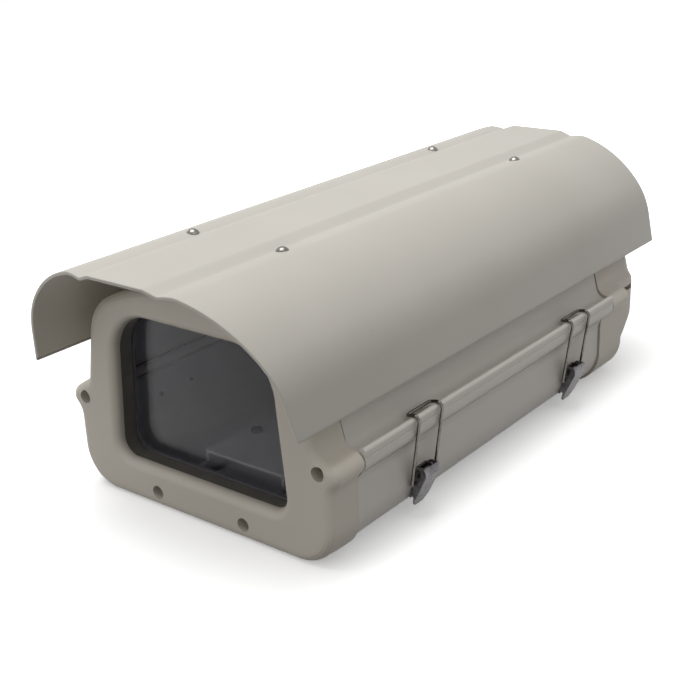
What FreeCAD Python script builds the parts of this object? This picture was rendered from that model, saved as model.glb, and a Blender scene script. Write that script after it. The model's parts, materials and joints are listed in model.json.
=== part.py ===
import FreeCAD, Part
import math
import os
import Sketcher
from FreeCAD import Placement, Rotation, Vector

# Camera housing: a tray-shaped lower body and a domed lid, both extruded, closed by a cast bezel
# with a window in front and a cast cap behind. The lid opens about hinges on the left and is
# held by two wire latches on the right. A formed sheet sunshield stands on spacers over the lid.
# Frame: X to the right seen from the front, Y to the rear, Z up, millimetres. The origin is the
# middle of the mounting holes in the foot, on the plane that the housing stands on.

# Driving dimensions
SIZES = {
    # along the housing
    "bezel_face": -174.1,
    "bezel_depth": 23.1,
    "gasket_thick": 1.0,
    "body_rear": 134.0,
    "lid_gap": 1.0,
    "lid_rear": 144.0,
    "cap_skirt_front": 135.0,
    "cap_ear_rear": 169.0,
    "cap_rear": 203.0,
    # outline of the bezel's face, and of the rim where castings and extrusions meet
    "front_top": 144.7,
    "front_crown_radius": 154.5,
    "front_crown_angle": 25.15,
    "front_shoulder_radius": 32.1,
    "front_shoulder_angle": 53.9,
    "front_side_length": 32.85,
    "front_neck_radius": 10.9,
    "front_neck_angle": 73.0,
    "front_ear_run": 0.2,
    "front_ear_radius": 7.5,
    "front_ear_angle": 124.95,
    "front_ear_slope": 1.8,
    "front_under_ear_radius": 9.6,
    "rear_top": 145.2,
    "rear_crown_radius": 158.4,
    "rear_crown_angle": 25.8,
    "rear_shoulder_radius": 28.1,
    "rear_shoulder_angle": 49.6,
    "rear_side_length": 39.3,
    "rear_neck_radius": 8.1,
    "rear_neck_angle": 65.9,
    "rear_ear_run": 1.3,
    "rear_ear_radius": 6.9,
    "rear_ear_angle": 125.3,
    "rear_ear_slope": 0.8,
    "rear_under_ear_radius": 8.0,
    "corner_radius": 26.0,
    "rim_floor": 2.0,
    "front_foot_depth": 10.0,
    "front_step_top": 40.0,
    "front_round": 6.0,
    "casting_wall": 3.5,
    "bezel_front_wall": 6.5,
    "boss_diameter": 11.0,
    "screw_hole": 4.5,
    "counterbore": 8.7,
    "counterbore_depth": 12.0,
    # rear cap
    "cap_round": 12.0,
    "cap_neck_angle": 30.0,
    "cap_ridge_radius": 4.0,
    "cap_heel_front": 146.0,
    "cap_toe": 178.0,
    "cap_toe_low": 5.5,
    "cap_toe_high": 20.0,
    "cap_slope_rear": 197.0,
    "cap_slope_top": 41.0,
    "cap_low_hollow_half": 74.0,
    "cap_low_wall": 5.5,
    # window
    "window_top": 122.2,
    "window_top_half": 34.0,
    "window_top_radius": 29.0,
    "window_side_lean": 4.5,
    "window_floor": 26.3,
    "window_bottom_radius": 11.0,
    "window_round": 5.5,
    "reveal_depth": 8.9,
    "glass_thick": 4.0,
    "seat_margin": 5.8,
    "seat_wall": 5.0,
    "retainer_thick": 2.0,
    "retainer_setback": 1.0,
    "small_screw": 2.6,
    "small_screw_hole": 3.2,
    "small_screw_length": 8.0,
    # lower body
    "wall": 2.5,
    "body_wall_half": 101.2,
    "body_corner": 25.0,
    "body_floor": 2.2,
    "parting_height": 53.5,
    "rim_flare": 2.7,
    "parting_gap": 0.2,
    "upstand_step": 0.6,
    "upstand_rise": 8.0,
    "foot_half": 25.0,
    "foot_thick": 8.0,
    "side_port_in": 8.2,
    "side_port_rise": 6.5,
    "floor_port_half": 35.0,
    "floor_port_height": 10.5,
    "port_radius": 4.6,
    "port_web": 3.5,
    "port_slot": 1.6,
    "gasket_inset": 0.8,
    "seal_clearance": 0.3,
    "case_screw": 4.0,
    "cap_head": 7.0,
    "cap_head_height": 4.0,
    "socket_key": 3.0,
    "socket_depth": 2.0,
    "thread_grip": 12.0,
    "thread_clearance": 0.05,
    # lid
    "lid_drop": 1.7,
    "groove_rise": 11.8,
    "lip_out": 0.1,
    "lip_bead": 2.0,
    "lip_height": 3.4,
    "lip_step": 0.6,
    "groove_corner": 1.0,
    "band_out": 3.4,
    "bulge_rise": 5.5,
    "skirt_wall": 2.2,
    "rib_half_width": 7.0,
    "rib_drop": 2.2,
    # sunshield
    "sheet": 2.0,
    "shield_rise": 23.7,
    "shield_length": 440.0,
    "band_half_width": 20.15,
    "step_angle": 27.0,
    "step_radius": 5.3,
    "step_length": 8.15,
    "hump_angle": 61.0,
    "hump_radius": 2.8,
    "ridge_angle": 47.85,
    "ridge_radius": 12.35,
    "wing_length_upper": 53.45,
    "wing_angle_upper": 35.3,
    "wing_length_lower": 26.74,
    "wing_angle_lower": 28.46,
    "wing_tip_length": 20.8,
    "front_rake": 20.9,
    "rear_rake": 6.3,
    "shield_screw_half": 35.0,
    "shield_screw_reach": 126.0,
    "shield_screw": 4.0,
    "shield_screw_hole": 4.2,
    "shield_grip": 6.0,
    "crest_drop": 2.4,
    "sheet_fit": 0.05,
    "dome_head": 8.0,
    "dome_height": 2.6,
    "spacer_diameter": 11.0,
    # latches
    "latch_reach": 90.5,
    "lever_half_width": 7.5,
    "lever_wall": 1.5,
    "lever_gap": 0.4,
    "pivot_out": 4.0,
    "pivot_height": 30.6,
    "pivot_pin": 3.0,
    "running_clearance": 0.05,
    "roll_radius": 5.4,
    "roll_start": 42.0,
    "bead_start": -50.0,
    "bead_width": 0.7,
    "bead_depth": 0.7,
    "heel_half": 102.6,
    "heel_height": 12.5,
    "cheek_wrap": 26.0,
    "tab_length": 6.0,
    "tab_half_width": 4.0,
    "bail_pivot_in": 1.8,
    "bail_pivot_drop": 6.6,
    "bail_wire": 2.0,
    "bail_half_width": 11.75,
    "bail_half_inner": 6.0,
    "wire_bend": 2.1,
    "hook_radius": 3.6,
    "hook_out": 0.6,
    "hook_down": 0.2,
    "hook_angle": 111.0,
    "hook_tail": 2.6,
    "bracket_sheet": 1.5,
    "bracket_half_width": 5.7,
    "bracket_top": 33.0,
    "bracket_wrap": 35.0,
    "ear_radius": 2.9,
    "ear_root": 6.0,
    "pin_head_height": 0.6,
    "pin_head_rim": 0.7,
    "rivet_shank": 2.4,
    "rivet_head": 3.8,
    "rivet_head_height": 1.2,
    "rivet_offset": 2.1,
    "rivet_height": 28.0,
    # hinges
    "hinge_reach": 90.5,
    "hinge_width": 40.0,
    "hinge_knuckle": 4.0,
    "hinge_clear": 0.1,
    "hinge_pin": 4.0,
    "hinge_sheet": 2.0,
    "hinge_gap": 0.4,
    "leaf_bottom": 28.0,
    "leaf_bend_drop": 7.7,
    "leaf_rivet_height": 36.0,
    "flap_rise": 4.5,
    "flap_height": 7.0,
    "flap_rivet_rise": 7.5,
    # camera tray and mounting
    "tray_top": 24.0,
    "tray_front": -132.0,
    "tray_rear": 108.0,
    "tray_half_width": 32.0,
    "tray_sheet": 2.0,
    "tray_post_half": 22.0,
    "tray_post_reach": 95.0,
    "tray_post": 9.0,
    "post_thread_depth": 2.0,
    "tray_flange": 8.0,
    "tray_slot": 6.6,
    "camera_screw": 6.3,
    "camera_screw_length": 12.0,
    "camera_knob": 14.0,
    "camera_screw_y": -60.0,
    "mount_hole": 5.0,
    "mount_depth": 6.5,
    "mount_spacing_side": 30.0,
    "mount_spacing_along": 80.0,
    # cable glands
    "gland_half": 30.0,
    "gland_thread": 16.0,
    "gland_hex": 20.0,
    "gland_flange": 5.0,
    "gland_shank": 14.0,
    "gland_nut": 3.0,
    "gland_dome": 12.0,
    "cable_hole": 8.0,
    # reach of cutting profiles past the whole housing
    "beyond": 300.0,
}

DOC = FreeCAD.newDocument("CameraHousing")
SHEET = DOC.addObject("Spreadsheet::Sheet", "Sizes")
for row, (alias, size) in enumerate(SIZES.items(), start=1):
    SHEET.set("A%d" % row, alias)
    SHEET.set("B%d" % row, str(size))
    SHEET.setAlias("B%d" % row, alias)
DOC.recompute()

NODES = []
FRONT = "XZ_Plane"
SIDE = "YZ_Plane"
TOP = "XY_Plane"
ROUND_STEPS = 5


def size(alias):
    """Value of one driving dimension, read from the sheet."""
    return float(SHEET.get(alias))


# Places worked out from the driving dimensions
bezel_rear = size("bezel_face") + size("bezel_depth")
body_front = bezel_rear + size("gasket_thick")
lid_front = bezel_rear + size("lid_gap")
seat_face = size("bezel_face") + size("bezel_front_wall")
glass_front = seat_face + size("reveal_depth")
glass_rear = glass_front + size("glass_thick")
retainer_rear = glass_rear + size("retainer_thick")
shield_front = -size("shield_length") / 2
thread_radius = size("case_screw") / 2 + size("thread_clearance")
beyond = size("beyond")
parting_half = size("body_wall_half") + size("rim_flare")
upstand_half = size("body_wall_half") - size("upstand_step")
upstand_top = size("parting_height") + size("upstand_rise")
side_port_half = size("body_wall_half") - size("side_port_in")
side_port_height = size("parting_height") + size("side_port_rise")
band_half = parting_half + size("band_out")
band_bulge = size("parting_height") + size("bulge_rise")
lip_half = band_half + size("lip_out")
groove_floor = size("parting_height") + size("groove_rise")
lip_top = groove_floor + size("lip_height")
rib_top = size("rear_top") - size("lid_drop") - size("rib_drop")
shield_top = rib_top + size("shield_rise")
hinge_x = -(lip_half + size("hinge_knuckle") + size("hinge_clear"))
lid_rivet_height = size("parting_height") + size("flap_rivet_rise")


# Bodies, sketches and features
def new_body(label):
    """Empty body of one piece, whose label names its file."""
    body = DOC.addObject("PartDesign::Body", "Body_" + label)
    body.Label = label
    NODES.append(body)
    return body


def origin_plane(body, role):
    """Origin plane of a body, found by its role."""
    return next(o for o in body.Origin.OriginFeatures if o.Role == role)


def new_sketch(body, role, at):
    """Sketch parallel to an origin plane, at a distance along the frame's own axis."""
    sketch = body.newObject("Sketcher::SketchObject", "Sketch")
    sketch.AttachmentSupport = [(origin_plane(body, role), "")]
    sketch.MapMode = "FlatFace"
    offset = -at if role == FRONT else at
    sketch.AttachmentOffset = Placement(Vector(0, 0, offset), Rotation())
    return sketch


def tilted_sketch(body, point, first, second):
    """Sketch on a plane through a point, with its two axes along two directions."""
    sketch = body.newObject("Sketcher::SketchObject", "Sketch")
    sketch.AttachmentSupport = [(origin_plane(body, TOP), "")]
    sketch.MapMode = "FlatFace"
    sketch.AttachmentOffset = Placement(point, Rotation(first, second, first.cross(second), "XYZ"))
    return sketch


def draw(sketch, edges):
    """Puts lines and arcs into a sketch."""
    for edge in edges:
        sketch.addGeometry(edge, False)


def circle(sketch, x, y, alias, share=0.5):
    """Circle at a place, with its radius a share of one driving dimension."""
    index = sketch.addGeometry(Part.Circle(Vector(x, y, 0), Vector(0, 0, 1), size(alias) * share), False)
    number = sketch.addConstraint(Sketcher.Constraint("Radius", index, size(alias) * share))
    sketch.setExpression("Constraints[%d]" % number, "Sizes.%s * %g" % (alias, share))


def polygon(points):
    """Closed ring of straight edges."""
    ring = [Vector(x, y, 0) for x, y in points]
    return [Part.LineSegment(a, b) for a, b in zip(ring, ring[1:] + ring[:1])]


def box(x0, y0, x1, y1):
    """Rectangle between two corners."""
    return polygon([(x0, y0), (x1, y0), (x1, y1), (x0, y1)])


def disc(x, y, radius):
    """Circle as sketch geometry."""
    return [Part.Circle(Vector(x, y, 0), Vector(0, 0, 1), radius)]


def feature(body, kind, sketch):
    """New feature made from a sketch, which becomes the body's tip."""
    made = body.newObject("PartDesign::" + kind, kind)
    made.Profile = sketch
    sketch.Visibility = False
    return made


def volume(body):
    """Volume of a body's tip, or zero while it has none."""
    return body.Tip.Shape.Volume if body.Tip and not body.Tip.Shape.isNull() else 0.0


def pad(body, sketch, length, forward=True):
    """Adds a prism, forward along the frame's axis or backward."""
    made = feature(body, "Pad", sketch)
    made.Length = length
    on_front = sketch.AttachmentSupport[0][0].Role == FRONT
    made.Reversed = forward if on_front else not forward
    DOC.recompute()
    return made


def pad_middle(body, sketch, length):
    """Adds a prism that reaches equally far to both sides of its sketch."""
    made = feature(body, "Pad", sketch)
    made.Length = length
    made.Midplane = True
    DOC.recompute()
    return made


def pocket(body, sketch, length, forward=True):
    """Cuts a prism, forward along the frame's axis or backward."""
    before = volume(body)
    made = feature(body, "Pocket", sketch)
    made.Length = length
    on_front = sketch.AttachmentSupport[0][0].Role == FRONT
    made.Reversed = not forward if on_front else forward
    DOC.recompute()
    check_cut(body, before)
    return made


def pocket_middle(body, sketch, length):
    """Cuts a prism that reaches equally far to both sides of its sketch."""
    before = volume(body)
    made = feature(body, "Pocket", sketch)
    made.Length = length
    made.Midplane = True
    DOC.recompute()
    check_cut(body, before)
    return made


def check_cut(body, before):
    """Stops when a cut took nothing away."""
    if volume(body) > before - 0.01:
        raise RuntimeError("a cut in %s removes nothing" % body.Label)


def mirror(body, features, role=SIDE):
    """Repeats features on the other side of an origin plane."""
    made = body.newObject("PartDesign::Mirrored", "Mirrored")
    made.Originals = features
    made.MirrorPlane = (origin_plane(body, role), [""])
    body.Tip = made
    DOC.recompute()
    return made


def fillet(body, alias, chosen, share=1.0):
    """Rounds the edges whose middle point the test accepts."""
    base = body.Tip
    names = ["Edge%d" % n for n, e in enumerate(base.Shape.Edges, start=1) if chosen(middle(e), e)]
    if not names:
        raise RuntimeError("no edge to round in %s" % body.Label)
    made = body.newObject("PartDesign::Fillet", "Fillet")
    made.Base = (base, names)
    made.Radius = size(alias) * share
    made.setExpression("Radius", "Sizes.%s * %g" % (alias, share))
    DOC.recompute()
    return made


def rounding(radius):
    """Steps round a quarter of a circle: how far inward, and how far from the end face."""
    turns = [math.radians(90 * n / ROUND_STEPS) for n in range(ROUND_STEPS + 1)]
    return [(radius * (1 - math.cos(a)), radius * (1 - math.sin(a))) for a in turns]


def loft(body, sections):
    """Joins sections in order by straight lines."""
    made = feature(body, "AdditiveLoft", sections[0])
    made.Sections = sections[1:]
    made.Ruled = True
    DOC.recompute()


def middle(edge):
    """Point half-way along an edge."""
    return edge.valueAt((edge.FirstParameter + edge.LastParameter) / 2)


# Outlines: a path goes from the middle of the top to the right and down
class Path:
    """Lines and arcs joined end to end, followed like a pen with a heading in degrees."""

    def __init__(self, x, y, heading):
        self.point = Vector(x, y, 0)
        self.heading = heading
        self.edges = []

    def direction(self, turn=0.0):
        """Unit vector along the heading, turned to the left by some degrees."""
        angle = math.radians(self.heading + turn)
        return Vector(math.cos(angle), math.sin(angle), 0)

    def line(self, length):
        """Straight run of a given length."""
        return self.line_to(*(self.point + self.direction() * length)[:2])

    def line_to(self, x, y):
        """Straight run to a point."""
        end = Vector(x, y, 0)
        self.edges.append(Part.LineSegment(self.point, end))
        step = end - self.point
        self.heading = math.degrees(math.atan2(step.y, step.x))
        self.point = end
        return self

    def turn(self, radius, angle):
        """Arc to the right for a positive angle, to the left for a negative one."""
        hand = -1 if angle > 0 else 1
        centre = self.point + self.direction(hand * 90) * radius
        spoke = self.point - centre
        mid = centre + rotated(spoke, hand * abs(angle) / 2)
        end = centre + rotated(spoke, hand * abs(angle))
        self.edges.append(Part.Arc(self.point, mid, end))
        self.heading += hand * abs(angle)
        self.point = end
        return self

    def corner_to_floor(self, radius, floor):
        """Straight run down and an arc that ends level at the floor's height."""
        angle = 180 + self.heading
        drop = radius * (1 - math.cos(math.radians(angle)))
        reach = (self.point.y - floor - drop) / -self.direction().y
        self.line(reach)
        self.turn(radius, angle)
        return self


def rotated(vector, angle):
    """Vector in the sketch plane turned to the left by some degrees."""
    turn = math.radians(angle)
    return Vector(vector.x * math.cos(turn) - vector.y * math.sin(turn),
                  vector.x * math.sin(turn) + vector.y * math.cos(turn), 0)


def mirrored(edges):
    """The same edges on the left of the middle plane."""
    flipped = []
    for edge in edges:
        ends = [edge.StartPoint, edge.EndPoint]
        if isinstance(edge, Part.LineSegment):
            flipped.append(Part.LineSegment(*[Vector(-p.x, p.y, 0) for p in ends]))
        else:
            mid = edge.value((edge.FirstParameter + edge.LastParameter) / 2)
            flipped.append(Part.Arc(*[Vector(-p.x, p.y, 0) for p in (ends[0], mid, ends[1])]))
    return flipped


def both_sides(half):
    """A half outline with its mirror image."""
    return half + mirrored(half)


def crown(kind, grow=0.0, drop=0.0):
    """Path over the dome and its shoulder, moved outward and down."""
    path = Path(0, size(kind + "_top") + grow - drop, 0)
    path.turn(size(kind + "_crown_radius") + grow, size(kind + "_crown_angle"))
    path.turn(size(kind + "_shoulder_radius") + grow, size(kind + "_shoulder_angle"))
    return path


def casting_outline(kind, grow, floor):
    """Closed outline of bezel or cap: dome, waist, screw ears, walls and floor."""
    path = crown(kind, grow)
    path.line(size(kind + "_side_length"))
    path.turn(size(kind + "_neck_radius") - grow, -size(kind + "_neck_angle"))
    path.line(size(kind + "_ear_run"))
    path.turn(size(kind + "_ear_radius") + grow, size(kind + "_ear_angle"))
    path.line(size(kind + "_ear_slope"))
    path.turn(size(kind + "_under_ear_radius") - grow, path.heading + 90)
    path.corner_to_floor(size("corner_radius") + grow, floor)
    path.line_to(0, floor)
    return both_sides(path.edges)


def cap_outline(inset):
    """Closed outline of the cap behind its ears, moved inward as its end closes."""
    path = crown("rear", -inset)
    path.line(size("rear_side_length"))
    left = size("cap_neck_angle") * (1 - inset / (size("cap_round") + 0.5))
    path.turn(size("rear_neck_radius") + inset, -left)
    path.turn(size("cap_ridge_radius") + 2 * inset, 90 + path.heading)
    path.corner_to_floor(size("corner_radius") - inset, inset)
    path.line_to(0, inset)
    return both_sides(path.edges)


def window_outline(grow=0.0):
    """Closed outline of the window, moved outward."""
    path = Path(0, size("window_top") + grow, 0)
    path.line_to(size("window_top_half"), size("window_top") + grow)
    path.turn(size("window_top_radius") + grow, 90 - size("window_side_lean"))
    path.corner_to_floor(size("window_bottom_radius") + grow, size("window_floor") - grow)
    path.line_to(0, size("window_floor") - grow)
    return both_sides(path.edges)


def tray_half(inset, top, floor_inset):
    """Path down the inside of the lower body's wall and round its corner to the floor."""
    path = Path(size("body_wall_half") - inset, top, -90)
    path.corner_to_floor(size("body_corner") - inset, size("body_floor") + floor_inset)
    return path


def port_places():
    """Centres of the four screw ports in the plane across the housing."""
    side = (side_port_half, side_port_height)
    low = (size("floor_port_half"), size("floor_port_height"))
    return [side, (-side[0], side[1]), low, (-low[0], low[1])]


def circles_at(sketch, places, alias, share=0.5):
    """One bound circle at each place."""
    for x, y in places:
        circle(sketch, x, y, alias, share)


# Front bezel: flared casting with a rounded front edge, a rounded window and a hollow back
def make_bezel():
    body = new_body("front_bezel")
    face = size("bezel_face")
    depth = size("bezel_depth")
    sections = []
    for inset, step in reversed(rounding(size("front_round"))):
        section = new_sketch(body, FRONT, face + step)
        draw(section, casting_outline("front", -inset, inset))
        sections.append(section)
    rear = new_sketch(body, FRONT, bezel_rear)
    draw(rear, casting_outline("rear", 0, 0))
    loft(body, sections + [rear])
    window = new_sketch(body, FRONT, face)
    draw(window, window_outline())
    pocket(body, window, depth)
    inside = size("window_top_half") + size("window_top_radius") + 10
    fillet(body, "window_round", lambda p, e: abs(p.y - face) < 0.01 and abs(p.x) < inside
           and size("window_floor") - 1 < p.z < size("window_top") + 1)
    hollow = new_sketch(body, FRONT, bezel_rear)
    draw(hollow, casting_outline("rear", -size("casting_wall") - 1.0,
                                 size("rim_floor") + size("casting_wall")))
    pocket(body, hollow, bezel_rear - seat_face, forward=False)
    step = new_sketch(body, FRONT, face + size("front_foot_depth"))
    high = size("front_step_top")
    side = Path(parting_half, high, -90)
    side.corner_to_floor(size("corner_radius"), size("rim_floor"))
    side.line_to(0, size("rim_floor"))
    outside = Path(parting_half, high, 0).line_to(beyond, high).line_to(beyond, -beyond)
    outside.line_to(0, -beyond)
    draw(step, both_sides(side.edges + outside.edges))
    pocket(body, step, depth)
    seat = new_sketch(body, FRONT, seat_face)
    draw(seat, window_outline(size("seat_margin") + size("seat_wall")))
    draw(seat, window_outline(size("seat_margin")))
    pad(body, seat, glass_rear - seat_face)
    bosses = new_sketch(body, FRONT, seat_face)
    circles_at(bosses, port_places(), "boss_diameter")
    pad(body, bosses, bezel_rear - seat_face)
    holes = new_sketch(body, FRONT, face)
    circles_at(holes, port_places(), "screw_hole")
    pocket(body, holes, depth)
    sinks = new_sketch(body, FRONT, face)
    circles_at(sinks, port_places(), "counterbore")
    pocket(body, sinks, size("counterbore_depth"))
    pilots = new_sketch(body, FRONT, glass_rear)
    circles_at(pilots, retainer_places(), "small_screw")
    pocket(body, pilots, size("small_screw_length"), forward=False)
    return body


def retainer_places():
    """Centres of the small screws round the window, in the middle of its seat wall."""
    out = size("seat_margin") + size("seat_wall") / 2
    lean = math.radians(size("window_side_lean"))
    start_x = size("window_top_half") + size("window_top_radius") * math.cos(lean)
    start_z = size("window_top") - size("window_top_radius") * (1 - math.sin(lean))
    height = (size("window_top") + size("window_floor")) / 2
    side = start_x + (start_z - height) * math.tan(lean) + out
    low = size("window_floor") - out
    high = size("window_top") + out
    right = [(side, height), (size("window_top_half") * 1.35, low), (size("window_top_half") * 0.7, high)]
    return right + [(-x, z) for x, z in right]


def make_plate(label, outlines, start, thick):
    """Flat piece across the housing between two planes."""
    body = new_body(label)
    sketch = new_sketch(body, FRONT, start)
    for edges in outlines:
        draw(sketch, edges)
    pad(body, sketch, thick)
    return body


def make_window():
    margin = size("seat_margin") - 0.2
    make_plate("window_gasket", [window_outline(margin), window_outline()], seat_face, size("reveal_depth"))
    make_plate("window_glass", [window_outline(margin)], glass_front, size("glass_thick"))
    rim = size("seat_margin") + size("seat_wall") - size("retainer_setback")
    retainer = make_plate("window_retainer", [window_outline(rim), window_outline(0.5)],
                          glass_rear, size("retainer_thick"))
    holes = new_sketch(retainer, FRONT, glass_rear)
    circles_at(holes, retainer_places(), "small_screw_hole")
    pocket(retainer, holes, size("retainer_thick"))


# Lower body: extruded tray with screw ports, an upstand behind the parting line and a thick foot
def make_lower_body():
    body = new_body("lower_body")
    top = size("parting_height") - size("parting_gap")
    wall = size("wall")
    outer = Path(parting_half, top, -131)
    out = parting_half - size("body_wall_half")
    outer.turn(out / (1 - math.sin(math.radians(131))), -41)
    outer.corner_to_floor(size("body_corner"), size("body_floor"))
    outer.line_to(size("foot_half"), size("body_floor")).line_to(size("foot_half"), 0).line_to(0, 0)
    inner = tray_half(wall, upstand_top, wall)
    foot = size("foot_half") + wall
    inner.line_to(foot, size("body_floor") + wall).line_to(foot, size("foot_thick"))
    inner.line_to(0, size("foot_thick"))
    rim = Path(parting_half, top, 180)
    rim.line_to(upstand_half, top).line_to(upstand_half, upstand_top)
    rim.line_to(size("body_wall_half") - wall, upstand_top)
    profile = new_sketch(body, FRONT, body_front)
    draw(profile, both_sides(outer.edges + inner.edges + rim.edges))
    length = size("body_rear") - body_front
    pad(body, profile, length)
    ports = new_sketch(body, FRONT, body_front)
    circles_at(ports, port_places(), "port_radius", 1)
    pad(body, ports, length)
    webs = new_sketch(body, FRONT, body_front)
    inner_wall = size("body_wall_half") - wall
    side_x, side_z = side_port_half, side_port_height
    low_x, low_z = size("floor_port_half"), size("floor_port_height")
    half = size("port_web") / 2
    for hand in (1, -1):
        reach = side_x + size("port_radius") - 1
        draw(webs, box(hand * reach, side_z - half, hand * (inner_wall + 0.5), upstand_top))
        draw(webs, box(hand * low_x - half, size("body_floor") + wall - 0.5,
                       hand * low_x + half, low_z - size("port_radius") + 1))
    pad(body, webs, length)
    bores = new_sketch(body, FRONT, body_front)
    for x, z in port_places():
        draw(bores, disc(x, z, thread_radius))
    pocket(body, bores, length)
    slots = new_sketch(body, FRONT, body_front)
    slot = size("port_slot") / 2
    for hand in (1, -1):
        draw(slots, box(hand * (side_x - size("port_radius") - 1), side_z - slot,
                        hand * side_x, side_z + slot))
        draw(slots, box(hand * low_x - slot, low_z, hand * low_x + slot, low_z + size("port_radius") + 1))
    pocket(body, slots, length)
    mounts = new_sketch(body, TOP, 0)
    circles_at(mounts, mount_places() + [(0, 0)], "mount_hole")
    pocket(body, mounts, size("mount_depth"))
    posts = new_sketch(body, TOP, size("foot_thick"))
    circles_at(posts, tray_post_places(), "small_screw")
    pocket(body, posts, size("post_thread_depth"), forward=False)
    rivets = new_sketch(body, SIDE, 0)
    for y in latch_rivet_places():
        circle(rivets, y, size("rivet_height"), "rivet_shank")
    pocket(body, rivets, beyond)
    left = new_sketch(body, SIDE, 0)
    for y in hinge_rivet_places():
        circle(left, y, size("leaf_rivet_height"), "rivet_shank")
    pocket(body, left, beyond, forward=False)
    return body


def mount_places():
    """Centres of the four mounting holes in the foot."""
    x, y = size("mount_spacing_side") / 2, size("mount_spacing_along") / 2
    return [(x, y), (-x, y), (x, -y), (-x, -y)]


def tray_post_places():
    """Centres of the four posts under the camera tray."""
    x, y = size("tray_post_half"), size("tray_post_reach")
    return [(x, y), (-x, y), (x, -y), (-x, -y)]


def latch_rivet_places():
    """Places along the housing of the rivets that hold the latch brackets."""
    reach, offset = size("latch_reach"), size("rivet_offset")
    return [centre + shift for centre in (-reach, reach) for shift in (-offset, offset)]


def hinge_rivet_places():
    """Places along the housing of the rivets that hold a hinge leaf."""
    reach, offset = size("hinge_reach"), size("hinge_width") * 0.35
    return [centre + shift for centre in (-reach, reach) for shift in (-offset, offset)]


def make_gaskets():
    """Thin gaskets at both ends of the lower body and arched seals at both ends of the lid."""
    top = size("parting_height") - size("parting_gap")
    outer = tray_half(size("gasket_inset"), top, size("gasket_inset"))
    outer.line_to(0, size("body_floor") + size("gasket_inset"))
    inner = tray_half(size("wall"), top, size("wall"))
    inner.line_to(0, size("body_floor") + size("wall"))
    close = Path(outer.edges[0].StartPoint.x, top, 180).line_to(inner.edges[0].StartPoint.x, top)
    ring = both_sides(outer.edges + inner.edges + close.edges)
    make_plate("front_gasket", [ring], bezel_rear, size("gasket_thick"))
    make_plate("rear_gasket", [ring], size("body_rear"), size("gasket_thick"))
    thick = size("lid_gap") - size("seal_clearance")
    arch = lid_band(size("gasket_inset"), size("wall"))
    make_plate("lid_seal_front", [arch], bezel_rear, thick)
    make_plate("lid_seal_rear", [arch], size("lid_rear") + size("seal_clearance"), thick)


def lid_crown(inset):
    """Path over the lid's dome and round its waist to the groove floor, moved inward."""
    path = crown("rear", -inset, size("lid_drop"))
    radius = size("rear_neck_radius") + inset
    angle = -path.heading
    drop = radius * (1 - math.cos(math.radians(angle)))
    reach = path.point.y - (groove_floor - inset) - drop
    path.line(reach / math.sin(math.radians(angle)))
    path.turn(radius, -angle)
    return path


def lid_band(outer_inset, inner_inset):
    """Closed arch that follows the lid's wall."""
    outer = lid_crown(outer_inset)
    inner = lid_crown(inner_inset)
    close = Path(outer.point.x, outer.point.y, -90).line_to(inner.point.x, inner.point.y)
    return both_sides(outer.edges + inner.edges + close.edges)


# Lid: extruded dome with a groove, a hooked lip and a skirt on each side
def make_lid():
    body = new_body("lid")
    wall = size("wall")
    bead = size("lip_bead")
    outer = lid_crown(0)
    lip_inner = lip_half - 2 * bead
    fillet_radius = size("groove_corner")
    outer.line_to(lip_inner - fillet_radius, groove_floor)
    outer.turn(fillet_radius, -90)
    outer.line_to(lip_inner, lip_top - bead)
    outer.turn(bead, 180)
    step = size("lip_step")
    shelf = groove_floor - 1.0
    outer.line_to(lip_half, shelf).line_to(lip_half - step, shelf - step)
    outer.line_to(lip_half - step, shelf - 2 * step).line_to(band_half, shelf - 3 * step)
    outer.line_to(band_half, band_bulge)
    outer.line_to(band_half - 0.5, band_bulge - 2)
    outer.line_to(parting_half + 1.5, size("parting_height") + 1.9)
    outer.line_to(parting_half, size("parting_height"))
    inner = lid_crown(wall)
    skirt = size("skirt_wall")
    inner.line_to(band_half - skirt, groove_floor - wall)
    inner.line_to(band_half - skirt, band_bulge - 1)
    inner.line_to(parting_half - skirt, size("parting_height") + 1.0)
    inner.line_to(parting_half - skirt, size("parting_height"))
    close = Path(parting_half, size("parting_height"), 180)
    close.line_to(parting_half - skirt, size("parting_height"))
    profile = new_sketch(body, FRONT, lid_front)
    draw(profile, both_sides(outer.edges + inner.edges + close.edges))
    length = size("lid_rear") - lid_front
    pad(body, profile, length)
    ribs = new_sketch(body, FRONT, lid_front)
    middle_x, half = size("shield_screw_half"), size("rib_half_width")
    top = rib_top
    for hand in (1, -1):
        draw(ribs, polygon([(hand * (middle_x - half), top), (hand * (middle_x + half), top),
                            (hand * (middle_x + half), top - 4.8), (hand * (middle_x - half), top - 1.8)]))
    pad(body, ribs, length)
    holes = new_sketch(body, TOP, rib_top)
    for x, y in shield_screw_places():
        draw(holes, disc(x, y, thread_radius))
    pocket(body, holes, beyond, forward=False)
    band = new_sketch(body, SIDE, 0)
    for y in hinge_rivet_places():
        circle(band, y, lid_rivet_height, "rivet_shank")
    pocket(body, band, beyond, forward=False)
    return body


def shield_screw_places():
    """Centres of the four sunshield screws seen from above."""
    x, y = size("shield_screw_half"), size("shield_screw_reach")
    return [(x, y), (-x, y), (x, -y), (-x, -y)]


def make_side_seals():
    """Rubber strips on the upstands, under the floor of the lid's grooves."""
    body = new_body("lid_side_seals")
    sketch = new_sketch(body, FRONT, body_front)
    inner = size("body_wall_half") - size("wall")
    top = groove_floor - size("wall") - size("seal_clearance")
    for hand in (1, -1):
        draw(sketch, box(hand * inner, upstand_top, hand * upstand_half, top))
    pad(body, sketch, size("body_rear") - body_front)


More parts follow.
